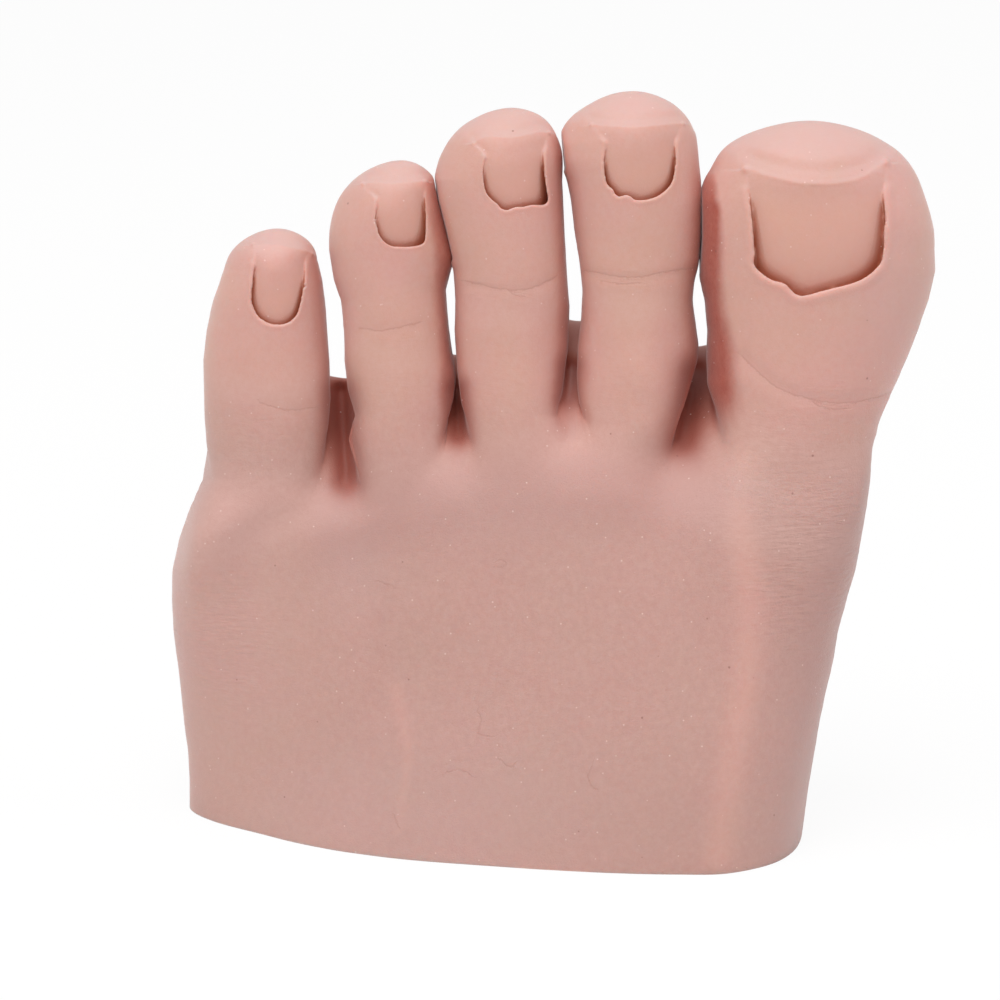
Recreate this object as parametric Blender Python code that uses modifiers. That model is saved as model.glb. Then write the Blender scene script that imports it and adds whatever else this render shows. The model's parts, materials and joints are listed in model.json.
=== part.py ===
import math

import bmesh
import bpy
from mathutils import Matrix, Vector

# The forefoot stands on its flat cut face, with its toes up. X runs across the foot towards the
# big toe, Y from the top of the foot to the sole, and Z from the cut face to the toe tips.

# Forefoot
BLOCK_HEIGHT = 0.0500
LATERAL_REACH = 0.0436
MEDIAL_REACH = 0.0510
INSTEP_REACH = 0.0236
SOLE_REACH = 0.0200
TOE_LENGTH = 0.0500

# Outline of the forefoot from above: heights as shares of BLOCK_HEIGHT, reaches of each side
OUTLINE_HEIGHT_SHARES = (-0.16, 0.0, 0.16, 0.33, 0.44, 0.55, 0.66, 0.77, 0.88, 1.0)
LATERAL_SHARES = (0.975, 0.975, 0.973, 0.993, 1.010, 1.022, 1.020, 0.997, 0.945, 0.895)
MEDIAL_SHARES = (0.806, 0.826, 0.846, 0.870, 0.889, 0.909, 0.935, 0.964, 0.985, 0.998)

# Cross sections of the forefoot, from below the cut face to below the toes. Each level is a share
# of the height of the toe roots, and each row runs from the little toe's side to the big toe's.
LEVEL_SHARES = (-0.12, 0.0, 0.22, 0.46, 0.70, 0.88)
ACROSS_SHARES = (0.05, 0.25, 0.50, 0.77, 0.90, 0.965)
TOP_SHARES = (
    (0.02, 0.54, 0.83, 0.99, 0.90, 0.66),
    (0.00, 0.495, 0.76, 0.895, 0.815, 0.60),
    (-0.03, 0.41, 0.69, 0.87, 0.76, 0.54),
    (-0.04, 0.30, 0.54, 0.73, 0.61, 0.41),
    (-0.03, 0.20, 0.38, 0.55, 0.49, 0.36),
    (0.00, 0.13, 0.26, 0.40, 0.43, 0.34),
)
SOLE_SHARES = (
    (0.70, 0.92, 0.90, 0.80, 0.66, 0.60),
    (0.74, 0.95, 0.92, 0.84, 0.75, 0.67),
    (0.79, 0.98, 0.95, 0.91, 0.87, 0.80),
    (0.84, 1.00, 0.97, 0.99, 0.98, 0.90),
    (0.86, 0.99, 0.97, 1.02, 1.03, 0.95),
    (0.79, 0.88, 0.89, 0.93, 0.95, 0.89),
)
LATERAL_SIDE_SHARES = (0.35, 0.36, 0.38, 0.42, 0.45, 0.46)
MEDIAL_SIDE_SHARES = (-0.14, -0.10, -0.02, 0.06, 0.12, 0.17)
COLUMNS_PER_TOE = 3

# Webs between the toes and the outer sides, from the little toe to the big toe: how far each lies
# above the forefoot on top of the foot and at the sole, as shares of TOE_LENGTH
WEB_TOP_SHARES = (-0.10, -0.09, 0.02, 0.08, 0.03, 0.0)
WEB_SOLE_SHARES = (0.08, 0.20, 0.27, 0.36, 0.29, 0.16)
ROOT_CORNER_ACROSS_SHARE = 0.80
ROOT_CORNER_DEEP_SHARE = 0.84

# Toes, from the little toe to the big toe. Places and widths across are shares of the foot's width
# from its lateral side, places and depths down are shares of its depth from the instep, and a tip's
# third share is its height above the forefoot, of TOE_LENGTH. A ring is how far it lies from root to
# tip, then its shift aside, its width and depth, its drop towards the sole, and its tilt along the
# webs, each a share of the toe's length, width, width, depth, depth and web heights.
TOE_SHARES = (
    dict(
        name="little_toe",
        root_across_share=0.1342, root_width_share=0.1734,
        root_down_share=(0.5229, 0.9427),
        tip_share=(0.149, 0.7821, 0.62),
        width_share=0.1808, depth_share=0.344,
        ring_shares=(
            (0.13, -0.01, 0.97, 1.1, 0.0, 0.75),
            (0.36, -0.02, 1.0, 0.98, -0.02, 0.34),
            (0.57, -0.04, 0.98, 1.0, 0.03, 0.0),
            (0.76, -0.03, 0.85, 0.94, 0.03, 0.0),
            (0.91, -0.01, 0.635, 0.72, 0.0, 0.0),
        ),
        knuckle_share=0.16, tip_joint_share=0.5,
        nail_across_share=0.1506, nail_width_share=0.0729,
        nail_span_share=(0.625, 0.93),
    ),
    dict(
        name="fourth_toe",
        root_across_share=0.3256, root_width_share=0.1332,
        root_down_share=(0.4885, 0.9197),
        tip_share=(0.3266, 0.7775, 0.812),
        width_share=0.1691, depth_share=0.344,
        ring_shares=(
            (0.13, -0.02, 0.94, 1.08, 0.0, 0.75),
            (0.33, -0.045, 0.91, 0.95, -0.02, 0.34),
            (0.56, -0.112, 0.97, 1.0, 0.03, 0.0),
            (0.76, -0.115, 0.95, 0.97, 0.03, 0.0),
            (0.91, -0.055, 0.735, 0.74, 0.0, 0.0),
        ),
        knuckle_share=0.13, tip_joint_share=0.435,
        nail_across_share=0.3277, nail_width_share=0.0677,
        nail_span_share=(0.725, 0.94),
    ),
    dict(
        name="middle_toe",
        root_across_share=0.4968, root_width_share=0.1522,
        root_down_share=(0.4656, 0.9083),
        tip_share=(0.4863, 0.7752, 0.954),
        width_share=0.1723, depth_share=0.367,
        ring_shares=(
            (0.12, -0.01, 0.95, 1.06, 0.0, 0.75),
            (0.31, -0.035, 0.915, 0.93, -0.02, 0.34),
            (0.54, -0.07, 0.945, 1.0, 0.03, 0.0),
            (0.77, -0.105, 0.99, 0.98, 0.03, 0.0),
            (0.915, -0.07, 0.83, 0.74, 0.0, 0.0),
        ),
        knuckle_share=0.13, tip_joint_share=0.464,
        nail_across_share=0.4894, nail_width_share=0.0846,
        nail_span_share=(0.715, 0.945),
    ),
    dict(
        name="second_toe",
        root_across_share=0.6554, root_width_share=0.1332,
        root_down_share=(0.4381, 0.9037),
        tip_share=(0.6554, 0.7706, 1.0),
        width_share=0.1934, depth_share=0.3853,
        ring_shares=(
            (0.12, 0.045, 0.83, 1.06, 0.0, 0.75),
            (0.32, 0.04, 0.83, 0.93, -0.02, 0.34),
            (0.56, 0.02, 0.945, 1.0, 0.03, 0.0),
            (0.79, 0.0, 0.975, 0.98, 0.03, 0.0),
            (0.92, 0.0, 0.815, 0.74, 0.0, 0.0),
        ),
        knuckle_share=0.13, tip_joint_share=0.457,
        nail_across_share=0.667, nail_width_share=0.1004,
        nail_span_share=(0.696, 0.925),
    ),
    dict(
        name="big_toe",
        root_across_share=0.8858, root_width_share=0.2315,
        root_down_share=(0.3509, 0.9427),
        tip_share=(0.9038, 0.7317, 0.924),
        width_share=0.333, depth_share=0.5619,
        ring_shares=(
            (0.12, 0.03, 0.8, 1.03, 0.0, 0.75),
            (0.33, 0.072, 0.918, 0.96, -0.01, 0.34),
            (0.56, 0.078, 0.998, 1.0, 0.02, 0.0),
            (0.77, 0.044, 0.922, 0.91, 0.02, 0.0),
            (0.915, 0.012, 0.7, 0.66, 0.0, 0.0),
        ),
        knuckle_share=0.2,
        nail_across_share=0.9228, nail_width_share=0.1892,
        nail_span_share=(0.507, 0.89),
    ),
)

# Joints between the skins
SKIN_GAP = 0.0003
SKIN_WALL = 0.0009
CURL_DEG = 25
LIFT_DEG = 10
KNUCKLE_SEAM_DEG = 34
BIG_TOE_SEAM_DEG = 16
TIP_SEAM_DEG = 4
SEAM_RISE = 0.0002
OVERRUN = 0.0400

# Nail slots
NAIL_DEPTH = 0.0014
NAIL_END_DEPTH = 0.0006
NAIL_POCKET = 0.0018
NAIL_SLOT = 0.0006
NAIL_CORNER_SHARE = 0.36
NAIL_CURVE_WIDE_SHARE = 0.74
NAIL_CURVE_DEEP_SHARE = 0.53

# Skeleton
LINK_RADIUS = 0.0020
LINK_WIDTH = 0.0056
TONGUE_WIDTH = 0.0024
TONGUE_PLAY = 0.0002
TONGUE_ROOT = 0.0005
TONGUE_STEP = 0.0002
LINK_GAP = 0.0003
LINK_WALL = 0.0009
PIN_RADIUS = 0.0008
PIN_PLAY = 0.0002
TIP_BONE_REACH_SHARE = 0.45
CORE_THICKNESS = 0.0060
CORE_DEPTH = 0.0080
CORE_BOTTOM = 0.0140
CORE_TOP = 0.0350
CORE_LATERAL = 0.0290
CORE_MEDIAL = 0.0345
CORE_CORNER = 0.0050

SLIVER = 0.00001
ROUND_STEPS = 20
BALL_RINGS = 8
PIN_STEPS = 12
ARC_STEPS = 6
FORM_LEVELS = 2
FORM_KEPT_SHARE = 0.30
FIT_ROUNDS = 12


for old in list(bpy.data.objects):
    bpy.data.objects.remove(old)

PARTS = bpy.data.collections.new("nail_practice_foot")
CUTTERS = bpy.data.collections.new("cutters")
bpy.context.scene.collection.children.link(PARTS)
bpy.context.scene.collection.children.link(CUTTERS)


def material(name, colour, roughness, metallic=0.0):
    made = bpy.data.materials.new(name)
    made.use_nodes = True
    shader = made.node_tree.nodes["Principled BSDF"]
    shader.inputs["Base Color"].default_value = (*colour, 1.0)
    shader.inputs["Roughness"].default_value = roughness
    shader.inputs["Metallic"].default_value = metallic
    made.diffuse_color = (*colour, 1.0)
    return made


SILICONE = material("silicone", (0.60, 0.33, 0.27), 0.5)
NYLON = material("nylon", (0.75, 0.73, 0.68), 0.45)
STEEL = material("pin_steel", (0.62, 0.62, 0.63), 0.3, 1.0)


def smooth_between(stations, values, at):
    """Value at a station, on a smooth curve through the given values."""
    last = len(stations) - 1
    at = min(max(at, stations[0]), stations[last])
    i = max(j for j in range(last) if stations[j] <= at)

    def slope(j):
        lo, hi = max(j - 1, 0), min(j + 1, last)
        return (values[hi] - values[lo]) / (stations[hi] - stations[lo])

    span = stations[i + 1] - stations[i]
    t = (at - stations[i]) / span
    start = (1 + 2 * t) * (1 - t) ** 2 * values[i] + t * (1 - t) ** 2 * span * slope(i)
    end = t**2 * (3 - 2 * t) * values[i + 1] - t**2 * (1 - t) * span * slope(i + 1)
    return start + end


def toe_sizes(shares):
    """Places and sizes of a toe, from its shares of the foot."""
    wide, deep = LATERAL_REACH + MEDIAL_REACH, INSTEP_REACH + SOLE_REACH

    def across(share):
        return share * wide - LATERAL_REACH

    def down(share):
        return share * deep - INSTEP_REACH

    tip_across, tip_down, tip_rise = shares["tip_share"]
    root_top, root_sole = shares["root_down_share"]
    return dict(
        shares,
        root_x=across(shares["root_across_share"]),
        root_width=shares["root_width_share"] * wide,
        root_top=down(root_top),
        root_sole=down(root_sole),
        tip=(across(tip_across), down(tip_down), BLOCK_HEIGHT + TOE_LENGTH * tip_rise),
        width=shares["width_share"] * wide,
        depth=shares["depth_share"] * deep,
        nail_x=across(shares["nail_across_share"]),
        nail_width=shares["nail_width_share"] * wide,
    )


TOES = [toe_sizes(shares) for shares in TOE_SHARES]


def root_ring(number):
    """Eight points round a toe's root: its left corner on top, then clockwise seen from the tip."""
    toe = TOES[number]
    half = toe["root_width"] / 2
    deep = (toe["root_sole"] - toe["root_top"]) / 2
    middle = (toe["root_sole"] + toe["root_top"]) / 2
    tops, soles = (
        [BLOCK_HEIGHT + TOE_LENGTH * share for share in webs[number : number + 2]]
        for webs in (WEB_TOP_SHARES, WEB_SOLE_SHARES)
    )
    points = []
    for i in range(8):
        u, v = (round(f(math.radians(45 * i - 135))) for f in (math.cos, math.sin))
        is_corner = u != 0 and v != 0
        across = u * half * (ROOT_CORNER_ACROSS_SHARE if is_corner else 1)
        down = v * deep * (ROOT_CORNER_DEEP_SHARE if is_corner else 1)
        heights = {-1: tops, 0: tops + soles, 1: soles}[v]
        kept = heights if u == 0 else heights[(u + 1) // 2 :: 2]
        points.append(Vector((toe["root_x"] + across, middle + down, sum(kept) / len(kept))))
    return points


def toe_ring(number, ring):
    """Eight points round a toe at one of its rings."""
    toe = TOES[number]
    root = root_ring(number)
    along, aside, wide, deep, drop, tilt = ring
    root_centre = sum(root, Vector()) / len(root)
    centre = root_centre.lerp(Vector(toe["tip"]), along)
    centre += Vector((aside * toe["width"], drop * toe["depth"], 0))
    points = []
    for i in range(8):
        u, v = (f(math.radians(45 * i - 135)) for f in (math.cos, math.sin))
        rise = tilt * (root[i].z - root_centre.z)
        step = Vector((u * wide * toe["width"] / 2, v * deep * toe["depth"] / 2, rise))
        points.append(centre + step)
    return points


def toe_section(number, along):
    """Centre, half width and half depth of a toe, at a share of its length from root to tip."""
    toe = TOES[number]
    rings = toe["ring_shares"]
    stations = [ring[0] for ring in rings]
    aside, wide, deep, drop = (
        smooth_between(stations, [ring[i] for ring in rings], along) for i in (1, 2, 3, 4)
    )
    points = toe_ring(number, (along, aside, wide, deep, drop, 0.0))
    centre = sum(points, Vector()) / len(points)
    return centre, wide * toe["width"] / 2, deep * toe["depth"] / 2


def body_ring(level_number):
    """Points round the forefoot at one level: the top row, big toe's side, sole row, other side."""
    level = LEVEL_SHARES[level_number]
    roots = [root_ring(number) for number in range(len(TOES))]
    top_row = [p for ring in roots for p in ring[:COLUMNS_PER_TOE]]
    sole_row = [p for ring in roots for p in (ring[6], ring[5], ring[4])]
    left_root, right_root = roots[0][7], roots[-1][3]

    def side_reach(reach, table, height):
        return reach * smooth_between(OUTLINE_HEIGHT_SHARES, table, height / BLOCK_HEIGHT)

    def row(roots_above, reach, table):
        points = []
        for column, above in enumerate(roots_above):
            height = above.z * level
            left = -side_reach(LATERAL_REACH, LATERAL_SHARES, height)
            right = side_reach(MEDIAL_REACH, MEDIAL_SHARES, height)
            first, last = ACROSS_SHARES[0], ACROSS_SHARES[-1]
            even = first + (last - first) * column / (len(roots_above) - 1)
            above_share = (above.x - left_root.x) / (right_root.x - left_root.x)
            across = even + (above_share - even) * max(level, 0) ** 2
            depth = reach * smooth_between(ACROSS_SHARES, table[level_number], even)
            points.append(Vector((left + across * (right - left), depth, height)))
        return points

    def side(root, reach, table, depth_share):
        height = root.z * level
        return Vector((side_reach(reach, table, height), SOLE_REACH * depth_share, height))

    medial = side(right_root, MEDIAL_REACH, MEDIAL_SHARES, MEDIAL_SIDE_SHARES[level_number])
    lateral = side(left_root, -LATERAL_REACH, LATERAL_SHARES, LATERAL_SIDE_SHARES[level_number])
    tops = row(top_row, -INSTEP_REACH, TOP_SHARES)
    soles = row(sole_row, SOLE_REACH, SOLE_SHARES)
    return tops + [medial] + soles[::-1] + [lateral]


def foot_cage():
    """Coarse cage of the whole foot, open below the cut face, with its points on the skin."""
    cage = bmesh.new()

    def ring_of(points):
        return [cage.verts.new(p) for p in points]

    def join(lower, upper):
        for i in range(len(lower)):
            cage.faces.new((lower[i - 1], lower[i], upper[i], upper[i - 1]))

    roots = [root_ring(number) for number in range(len(TOES))]
    rings = [ring_of(body_ring(number)) for number in range(len(LEVEL_SHARES))]
    top_points = [p for ring in roots for p in ring[:COLUMNS_PER_TOE]]
    sole_points = [p for ring in roots for p in (ring[6], ring[5], ring[4])]
    rings.append(ring_of(top_points + [roots[-1][3]] + sole_points[::-1] + [roots[0][7]]))
    for lower, upper in zip(rings, rings[1:]):
        join(lower, upper)

    columns = len(top_points)
    tops = rings[-1][:columns]
    soles = rings[-1][columns + 1 : -1][::-1]
    lefts = [rings[-1][-1]] + [cage.verts.new(ring[7]) for ring in roots[1:]]
    rights = [cage.verts.new(ring[3]) for ring in roots[:-1]] + [rings[-1][columns]]
    for web in range(len(TOES) - 1):
        last, first = COLUMNS_PER_TOE * (web + 1) - 1, COLUMNS_PER_TOE * (web + 1)
        cage.faces.new((tops[last], tops[first], lefts[web + 1], rights[web]))
        cage.faces.new((rights[web], lefts[web + 1], soles[first], soles[last]))

    for number, toe in enumerate(TOES):
        start = COLUMNS_PER_TOE * number
        top, sole = tops[start : start + COLUMNS_PER_TOE], soles[start : start + COLUMNS_PER_TOE]
        ring = top + [rights[number]] + sole[::-1] + [lefts[number]]
        for shares in toe["ring_shares"]:
            upper = ring_of(toe_ring(number, shares))
            join(ring, upper)
            ring = upper
        tip = cage.verts.new(toe["tip"])
        for i in (1, 3, 5, 7):
            cage.faces.new((ring[i - 1], ring[i], tip, ring[i - 2]))
    return cage


def skin_point(vert):
    """Where the smooth skin lies at a point of the cage."""
    open_ends = [edge.other_vert(vert).co for edge in vert.link_edges if edge.is_boundary]
    if open_ends:
        return (open_ends[0] + 4 * vert.co + open_ends[1]) / 6
    count = len(vert.link_edges)
    near = sum((edge.other_vert(vert).co for edge in vert.link_edges), Vector())
    corners = [(face, list(face.verts).index(vert)) for face in vert.link_faces]
    far = sum((face.verts[(i + 2) % 4].co for face, i in corners), Vector())
    return (count**2 * vert.co + 4 * near + far) / (count * (count + 5))


def evaluated_mesh(source):
    """A plain mesh of what an object shows."""
    bpy.context.view_layer.update()
    return bpy.data.meshes.new_from_object(source.evaluated_get(bpy.context.evaluated_depsgraph_get()))


def foot_form():
    """The whole foot as one smooth mesh, cut flat where it stands."""
    cage = foot_cage()
    goals = {vert: vert.co.copy() for vert in cage.verts}
    for _ in range(FIT_ROUNDS):
        moves = {vert: goal - skin_point(vert) for vert, goal in goals.items()}
        for vert, move in moves.items():
            vert.co += move
    mesh = bpy.data.meshes.new("foot_cage")
    cage.to_mesh(mesh)
    cage.free()
    holder = bpy.data.objects.new("foot_cage", mesh)
    bpy.context.scene.collection.objects.link(holder)
    smooth = holder.modifiers.new("Smooth skin", "SUBSURF")
    smooth.levels = smooth.render_levels = FORM_LEVELS
    fewer = holder.modifiers.new("Fewer faces", "DECIMATE")
    fewer.ratio = FORM_KEPT_SHARE
    form = evaluated_mesh(holder)
    bpy.data.objects.remove(holder)

    cut = bmesh.new()
    cut.from_mesh(form)
    everything = list(cut.verts) + list(cut.edges) + list(cut.faces)
    bmesh.ops.bisect_plane(cut, geom=everything, plane_co=(0, 0, 0), plane_no=(0, 0, 1), clear_inner=True)
    bmesh.ops.holes_fill(cut, edges=[edge for edge in cut.edges if edge.is_boundary])
    bmesh.ops.recalc_face_normals(cut, faces=cut.faces)
    cut.to_mesh(form)
    cut.free()
    return form


def keep(mesh, name, finish):
    """A part of the foot from a mesh in world coordinates."""
    part = bpy.data.objects.new(name, mesh)
    PARTS.objects.link(part)
    mesh.materials.clear()
    mesh.materials.append(finish)
    mesh.shade_smooth()
    mesh.set_sharp_from_angle(angle=math.radians(40))
    return part


def cutter(mesh, name):
    guide = bpy.data.objects.new(name, mesh)
    CUTTERS.objects.link(guide)
    guide.hide_render = True
    guide.display_type = "WIRE"
    return guide


def boolean(target, tool, operation, label):
    step = target.modifiers.new(label, "BOOLEAN")
    step.operation = operation
    step.object = tool


def carved(mesh, operation, tools, near):
    """What the cutters leave of a mesh: of its loose pieces, the one nearest a point."""
    holder = bpy.data.objects.new("carved", mesh.copy())
    bpy.context.scene.collection.objects.link(holder)
    for tool in tools:
        boolean(holder, tool, operation, tool.name)
    left = evaluated_mesh(holder)
    bpy.data.objects.remove(holder)
    pieces = bmesh.new()
    pieces.from_mesh(left)
    bmesh.ops.remove_doubles(pieces, verts=pieces.verts, dist=SLIVER)
    bmesh.ops.triangulate(pieces, faces=pieces.faces)
    kept = {min(pieces.verts, key=lambda vert: (vert.co - near).length)}
    edge_of_kept = list(kept)
    while edge_of_kept:
        vert = edge_of_kept.pop()
        found = {edge.other_vert(vert) for edge in vert.link_edges} - kept
        kept |= found
        edge_of_kept.extend(found)
    bmesh.ops.delete(pieces, geom=[vert for vert in pieces.verts if vert not in kept], context="VERTS")
    pieces.to_mesh(left)
    pieces.free()
    return left


def extruded(outline, thickness, matrix):
    """A flat outline in its own X and Y, as thick as given about its plane, then placed."""
    curve = bpy.data.curves.new("outline", "CURVE")
    curve.dimensions = "2D"
    curve.fill_mode = "BOTH"
    curve.extrude = thickness / 2
    spline = curve.splines.new("POLY")
    spline.points.add(len(outline) - 1)
    for point, (u, v) in zip(spline.points, outline):
        point.co = (u, v, 0, 1)
    spline.use_cyclic_u = True
    holder = bpy.data.objects.new("outline", curve)
    bpy.context.scene.collection.objects.link(holder)
    mesh = evaluated_mesh(holder)
    bpy.data.objects.remove(holder)
    bpy.data.curves.remove(curve)
    welded = bmesh.new()
    welded.from_mesh(mesh)
    bmesh.ops.remove_doubles(welded, verts=welded.verts, dist=SLIVER)
    bmesh.ops.recalc_face_normals(welded, faces=welded.faces)
    welded.to_mesh(mesh)
    welded.free()
    mesh.transform(matrix)
    return mesh


def side_view(x):
    """Places an outline drawn in Y and Z at X."""
    return Matrix(((0, 0, 1, x), (1, 0, 0, 0), (0, 1, 0, 0), (0, 0, 0, 1)))


def front_view(y):
    """Places an outline drawn in X and Z at Y."""
    return Matrix(((1, 0, 0, 0), (0, 0, -1, y), (0, 1, 0, 0), (0, 0, 0, 1)))


def arc(centre, radius, start_deg, end_deg, steps=ARC_STEPS):
    angles = [math.radians(start_deg + (end_deg - start_deg) * i / steps) for i in range(steps + 1)]
    return [(centre[0] + radius * math.cos(a), centre[1] + radius * math.sin(a)) for a in angles]


def cylinder_mesh(radius, length, steps, matrix):
    """A cylinder about its own Z axis, then placed."""
    made = bmesh.new()
    bmesh.ops.create_cone(
        made, cap_ends=True, segments=steps, radius1=radius, radius2=radius, depth=length, matrix=matrix
    )
    mesh = bpy.data.meshes.new("cylinder")
    made.to_mesh(mesh)
    made.free()
    return mesh


def across_cylinder(centre, radius, length, steps):
    turn = Matrix.Translation(centre) @ Matrix.Rotation(math.pi / 2, 4, "Y")
    return cylinder_mesh(radius, length, steps, turn)


def bar_mesh(start, end, radius, width, round_start=True, round_end=True):
    """A bar between two points at the same X, as wide as given across the foot."""
    direction = math.degrees(math.atan2(end.z - start.z, end.y - start.y))
    start_steps = ARC_STEPS if round_start else 1
    end_steps = ARC_STEPS if round_end else 1
    outline = arc((start.y, start.z), radius, direction + 90, direction + 270, start_steps)
    outline += arc((end.y, end.z), radius, direction - 90, direction + 90, end_steps)
    return extruded(outline, width, side_view(start.x))


class Joint:
    """A hinge across a toe: the ball of skin round it, the seam beside it and how far it turns."""

    def __init__(self, label, number, along, seam_deg):
        self.label = label
        self.centre, self.skin_half_width, half_depth = toe_section(number, along)
        self.half_width = self.skin_half_width - SKIN_WALL
        self.radius = half_depth - SKIN_WALL
        self.seam_deg = seam_deg

    def sides(self, reach):
        return self.centre.x - reach, self.centre.x + reach

    def ball(self, gap):
        made = bmesh.new()
        turn = Matrix.Rotation(math.pi / 2, 4, "Y")
        shape = Matrix.Diagonal((self.half_width + gap, self.radius + gap, self.radius + gap, 1))
        place = Matrix.Translation(self.centre) @ shape @ turn
        bmesh.ops.create_uvsphere(
            made, u_segments=ROUND_STEPS, v_segments=BALL_RINGS, radius=1, matrix=place
        )
        mesh = bpy.data.meshes.new("ball")
        made.to_mesh(mesh)
        made.free()
        return mesh

    def beyond_seam(self, curl_deg, lift_deg, drop, left, right):
        """Everything past the seam, and past the room below it for the toe to curl and lift."""
        seam = math.radians(self.seam_deg)
        apex = (self.centre.y + drop * math.sin(seam), self.centre.z - drop * math.cos(seam))
        far = arc(apex, OVERRUN, self.seam_deg - curl_deg, 180 + self.seam_deg + lift_deg)
        return extruded([apex] + far, right - left, side_view((left + right) / 2))

    def toe_side(self):
        """Cutter that keeps the piece beyond this joint."""
        tool = cutter(self.ball(0), self.label + "_ball")
        all_of_it = self.beyond_seam(0, 0, -SEAM_RISE, *self.sides(OVERRUN))
        boolean(tool, cutter(all_of_it, self.label + "_beyond"), "UNION", "Past the seam")
        return tool

    def carrier_side(self, left, right):
        """Cutter that clears the piece beyond this joint from the one that carries it."""
        tool = cutter(self.ball(SKIN_GAP), self.label + "_socket")
        room = self.beyond_seam(CURL_DEG, LIFT_DEG, SKIN_GAP, left, right)
        boolean(tool, cutter(room, self.label + "_room"), "UNION", "Past the seam")
        return tool

    def tongue_slot(self, carrier):
        """Cutter for the slot that lets the carrier's tongue reach the hinge at every angle."""
        back = carrier - self.centre
        direction = math.degrees(math.atan2(back.z, back.y))
        low, high = direction - LIFT_DEG, direction + CURL_DEG
        radius = LINK_RADIUS + LINK_GAP
        reach = (self.radius + 2 * SKIN_WALL) / math.cos(math.radians((high - low) / 2))
        hinge = (self.centre.y, self.centre.z)
        outline = arc(hinge, radius, high + 90, low + 270)
        for lean, side in ((low, low - 90), (high, high + 90)):
            lean, side = math.radians(lean), math.radians(side)
            outline.append((
                hinge[0] + reach * math.cos(lean) + radius * math.cos(side),
                hinge[1] + reach * math.sin(lean) + radius * math.sin(side),
            ))
        slot = extruded(outline, TONGUE_WIDTH + 2 * LINK_GAP, side_view(self.centre.x))
        return cutter(slot, self.label + "_tongue_slot")

    def shoulder(self, start, shift):
        """Where a link from a start point narrows to its tongue, clear of this joint's ball."""
        inward = self.centre - start
        inward.x = 0
        return self.centre - inward.normalized() * (self.radius + SKIN_GAP + LINK_WALL - shift)


def link_bars(start, end, joint, grow):
    """The bars of one link: a wide one and, if a joint follows, the tongue that reaches it."""
    radius = LINK_RADIUS + grow
    if joint is None:
        return [bar_mesh(start, end, radius, LINK_WIDTH + 2 * grow)]
    wide = bar_mesh(start, joint.shoulder(start, grow), radius, LINK_WIDTH + 2 * grow, round_end=False)
    neck = joint.shoulder(start, -TONGUE_ROOT)
    neck.x = joint.centre.x
    slim = radius - TONGUE_STEP
    tongue = bar_mesh(neck, joint.centre, slim, TONGUE_WIDTH + 2 * grow, round_start=False)
    return [wide, tongue]


def core_plate(prongs, grow):
    """Outline of the core's plate, seen from the top of the foot, as thick as the core."""
    left = prongs[0].centre.x - LINK_WIDTH - grow
    right = prongs[-1].centre.x + LINK_WIDTH / 2 + grow
    corner = CORE_CORNER + grow
    bottom, top = CORE_BOTTOM - grow, CORE_TOP + grow
    low_left, low_right = -CORE_LATERAL - grow, CORE_MEDIAL + grow
    outline = arc((low_left + corner, bottom + corner), corner, 180, 270)
    outline += arc((low_right - corner, bottom + corner), corner, 270, 360)
    outline += arc((right - corner, top - corner), corner, 0, 90)
    outline += arc((left + corner, top - corner), corner, 90, 180)
    return extruded(outline, CORE_THICKNESS + 2 * grow, front_view(CORE_DEPTH))


def prong_start(joint):
    return Vector((joint.centre.x, CORE_DEPTH, CORE_TOP - CORE_CORNER))


def drill(part, joint):
    """Room for the pin through a link."""
    hole = across_cylinder(joint.centre, PIN_RADIUS + PIN_PLAY, 2 * LINK_WIDTH, PIN_STEPS)
    boolean(part, cutter(hole, f"{part.name}_{joint.label}_hole"), "DIFFERENCE", "Pin hole")


def join_bars(part, bars):
    for i, bar in enumerate(bars):
        boolean(part, cutter(bar, f"{part.name}_bar_{i}"), "UNION", "Bar")


def carve_bars(skin, bars):
    for i, bar in enumerate(bars):
        boolean(skin, cutter(bar, f"{skin.name}_hollow_{i}"), "DIFFERENCE", "Room for the bone")


def metatarsal_core(knuckles):
    core = keep(core_plate(knuckles, 0), "metatarsal_core", NYLON)
    for joint in knuckles:
        join_bars(core, link_bars(prong_start(joint), joint.centre, joint, 0))
    for joint in knuckles:
        drill(core, joint)
    return core


def bone(name, start_joint, end, end_joint):
    """A link: a fork round the pin of one joint, and a tongue into the next or a round end."""
    bars = link_bars(start_joint.centre, end, end_joint, 0)
    made = keep(bars[0], name, NYLON)
    fork = across_cylinder(
        start_joint.centre, LINK_RADIUS + LINK_GAP, TONGUE_WIDTH + 2 * TONGUE_PLAY, ROUND_STEPS
    )
    boolean(made, cutter(fork, name + "_fork"), "DIFFERENCE", "Fork")
    join_bars(made, bars[1:])
    drill(made, start_joint)
    if end_joint:
        drill(made, end_joint)
    return made


def nail_outline(x, width, bottom, top):
    """Nail seen from the top of the foot: square at its free end, with round corners behind."""
    corner = NAIL_CORNER_SHARE * width
    half = width / 2
    outline = arc((x - half + corner, bottom + corner), corner, 180, 270)
    outline += arc((x + half - corner, bottom + corner), corner, 270, 360)
    return outline + [(x + half, top), (x - half, top)]


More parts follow.
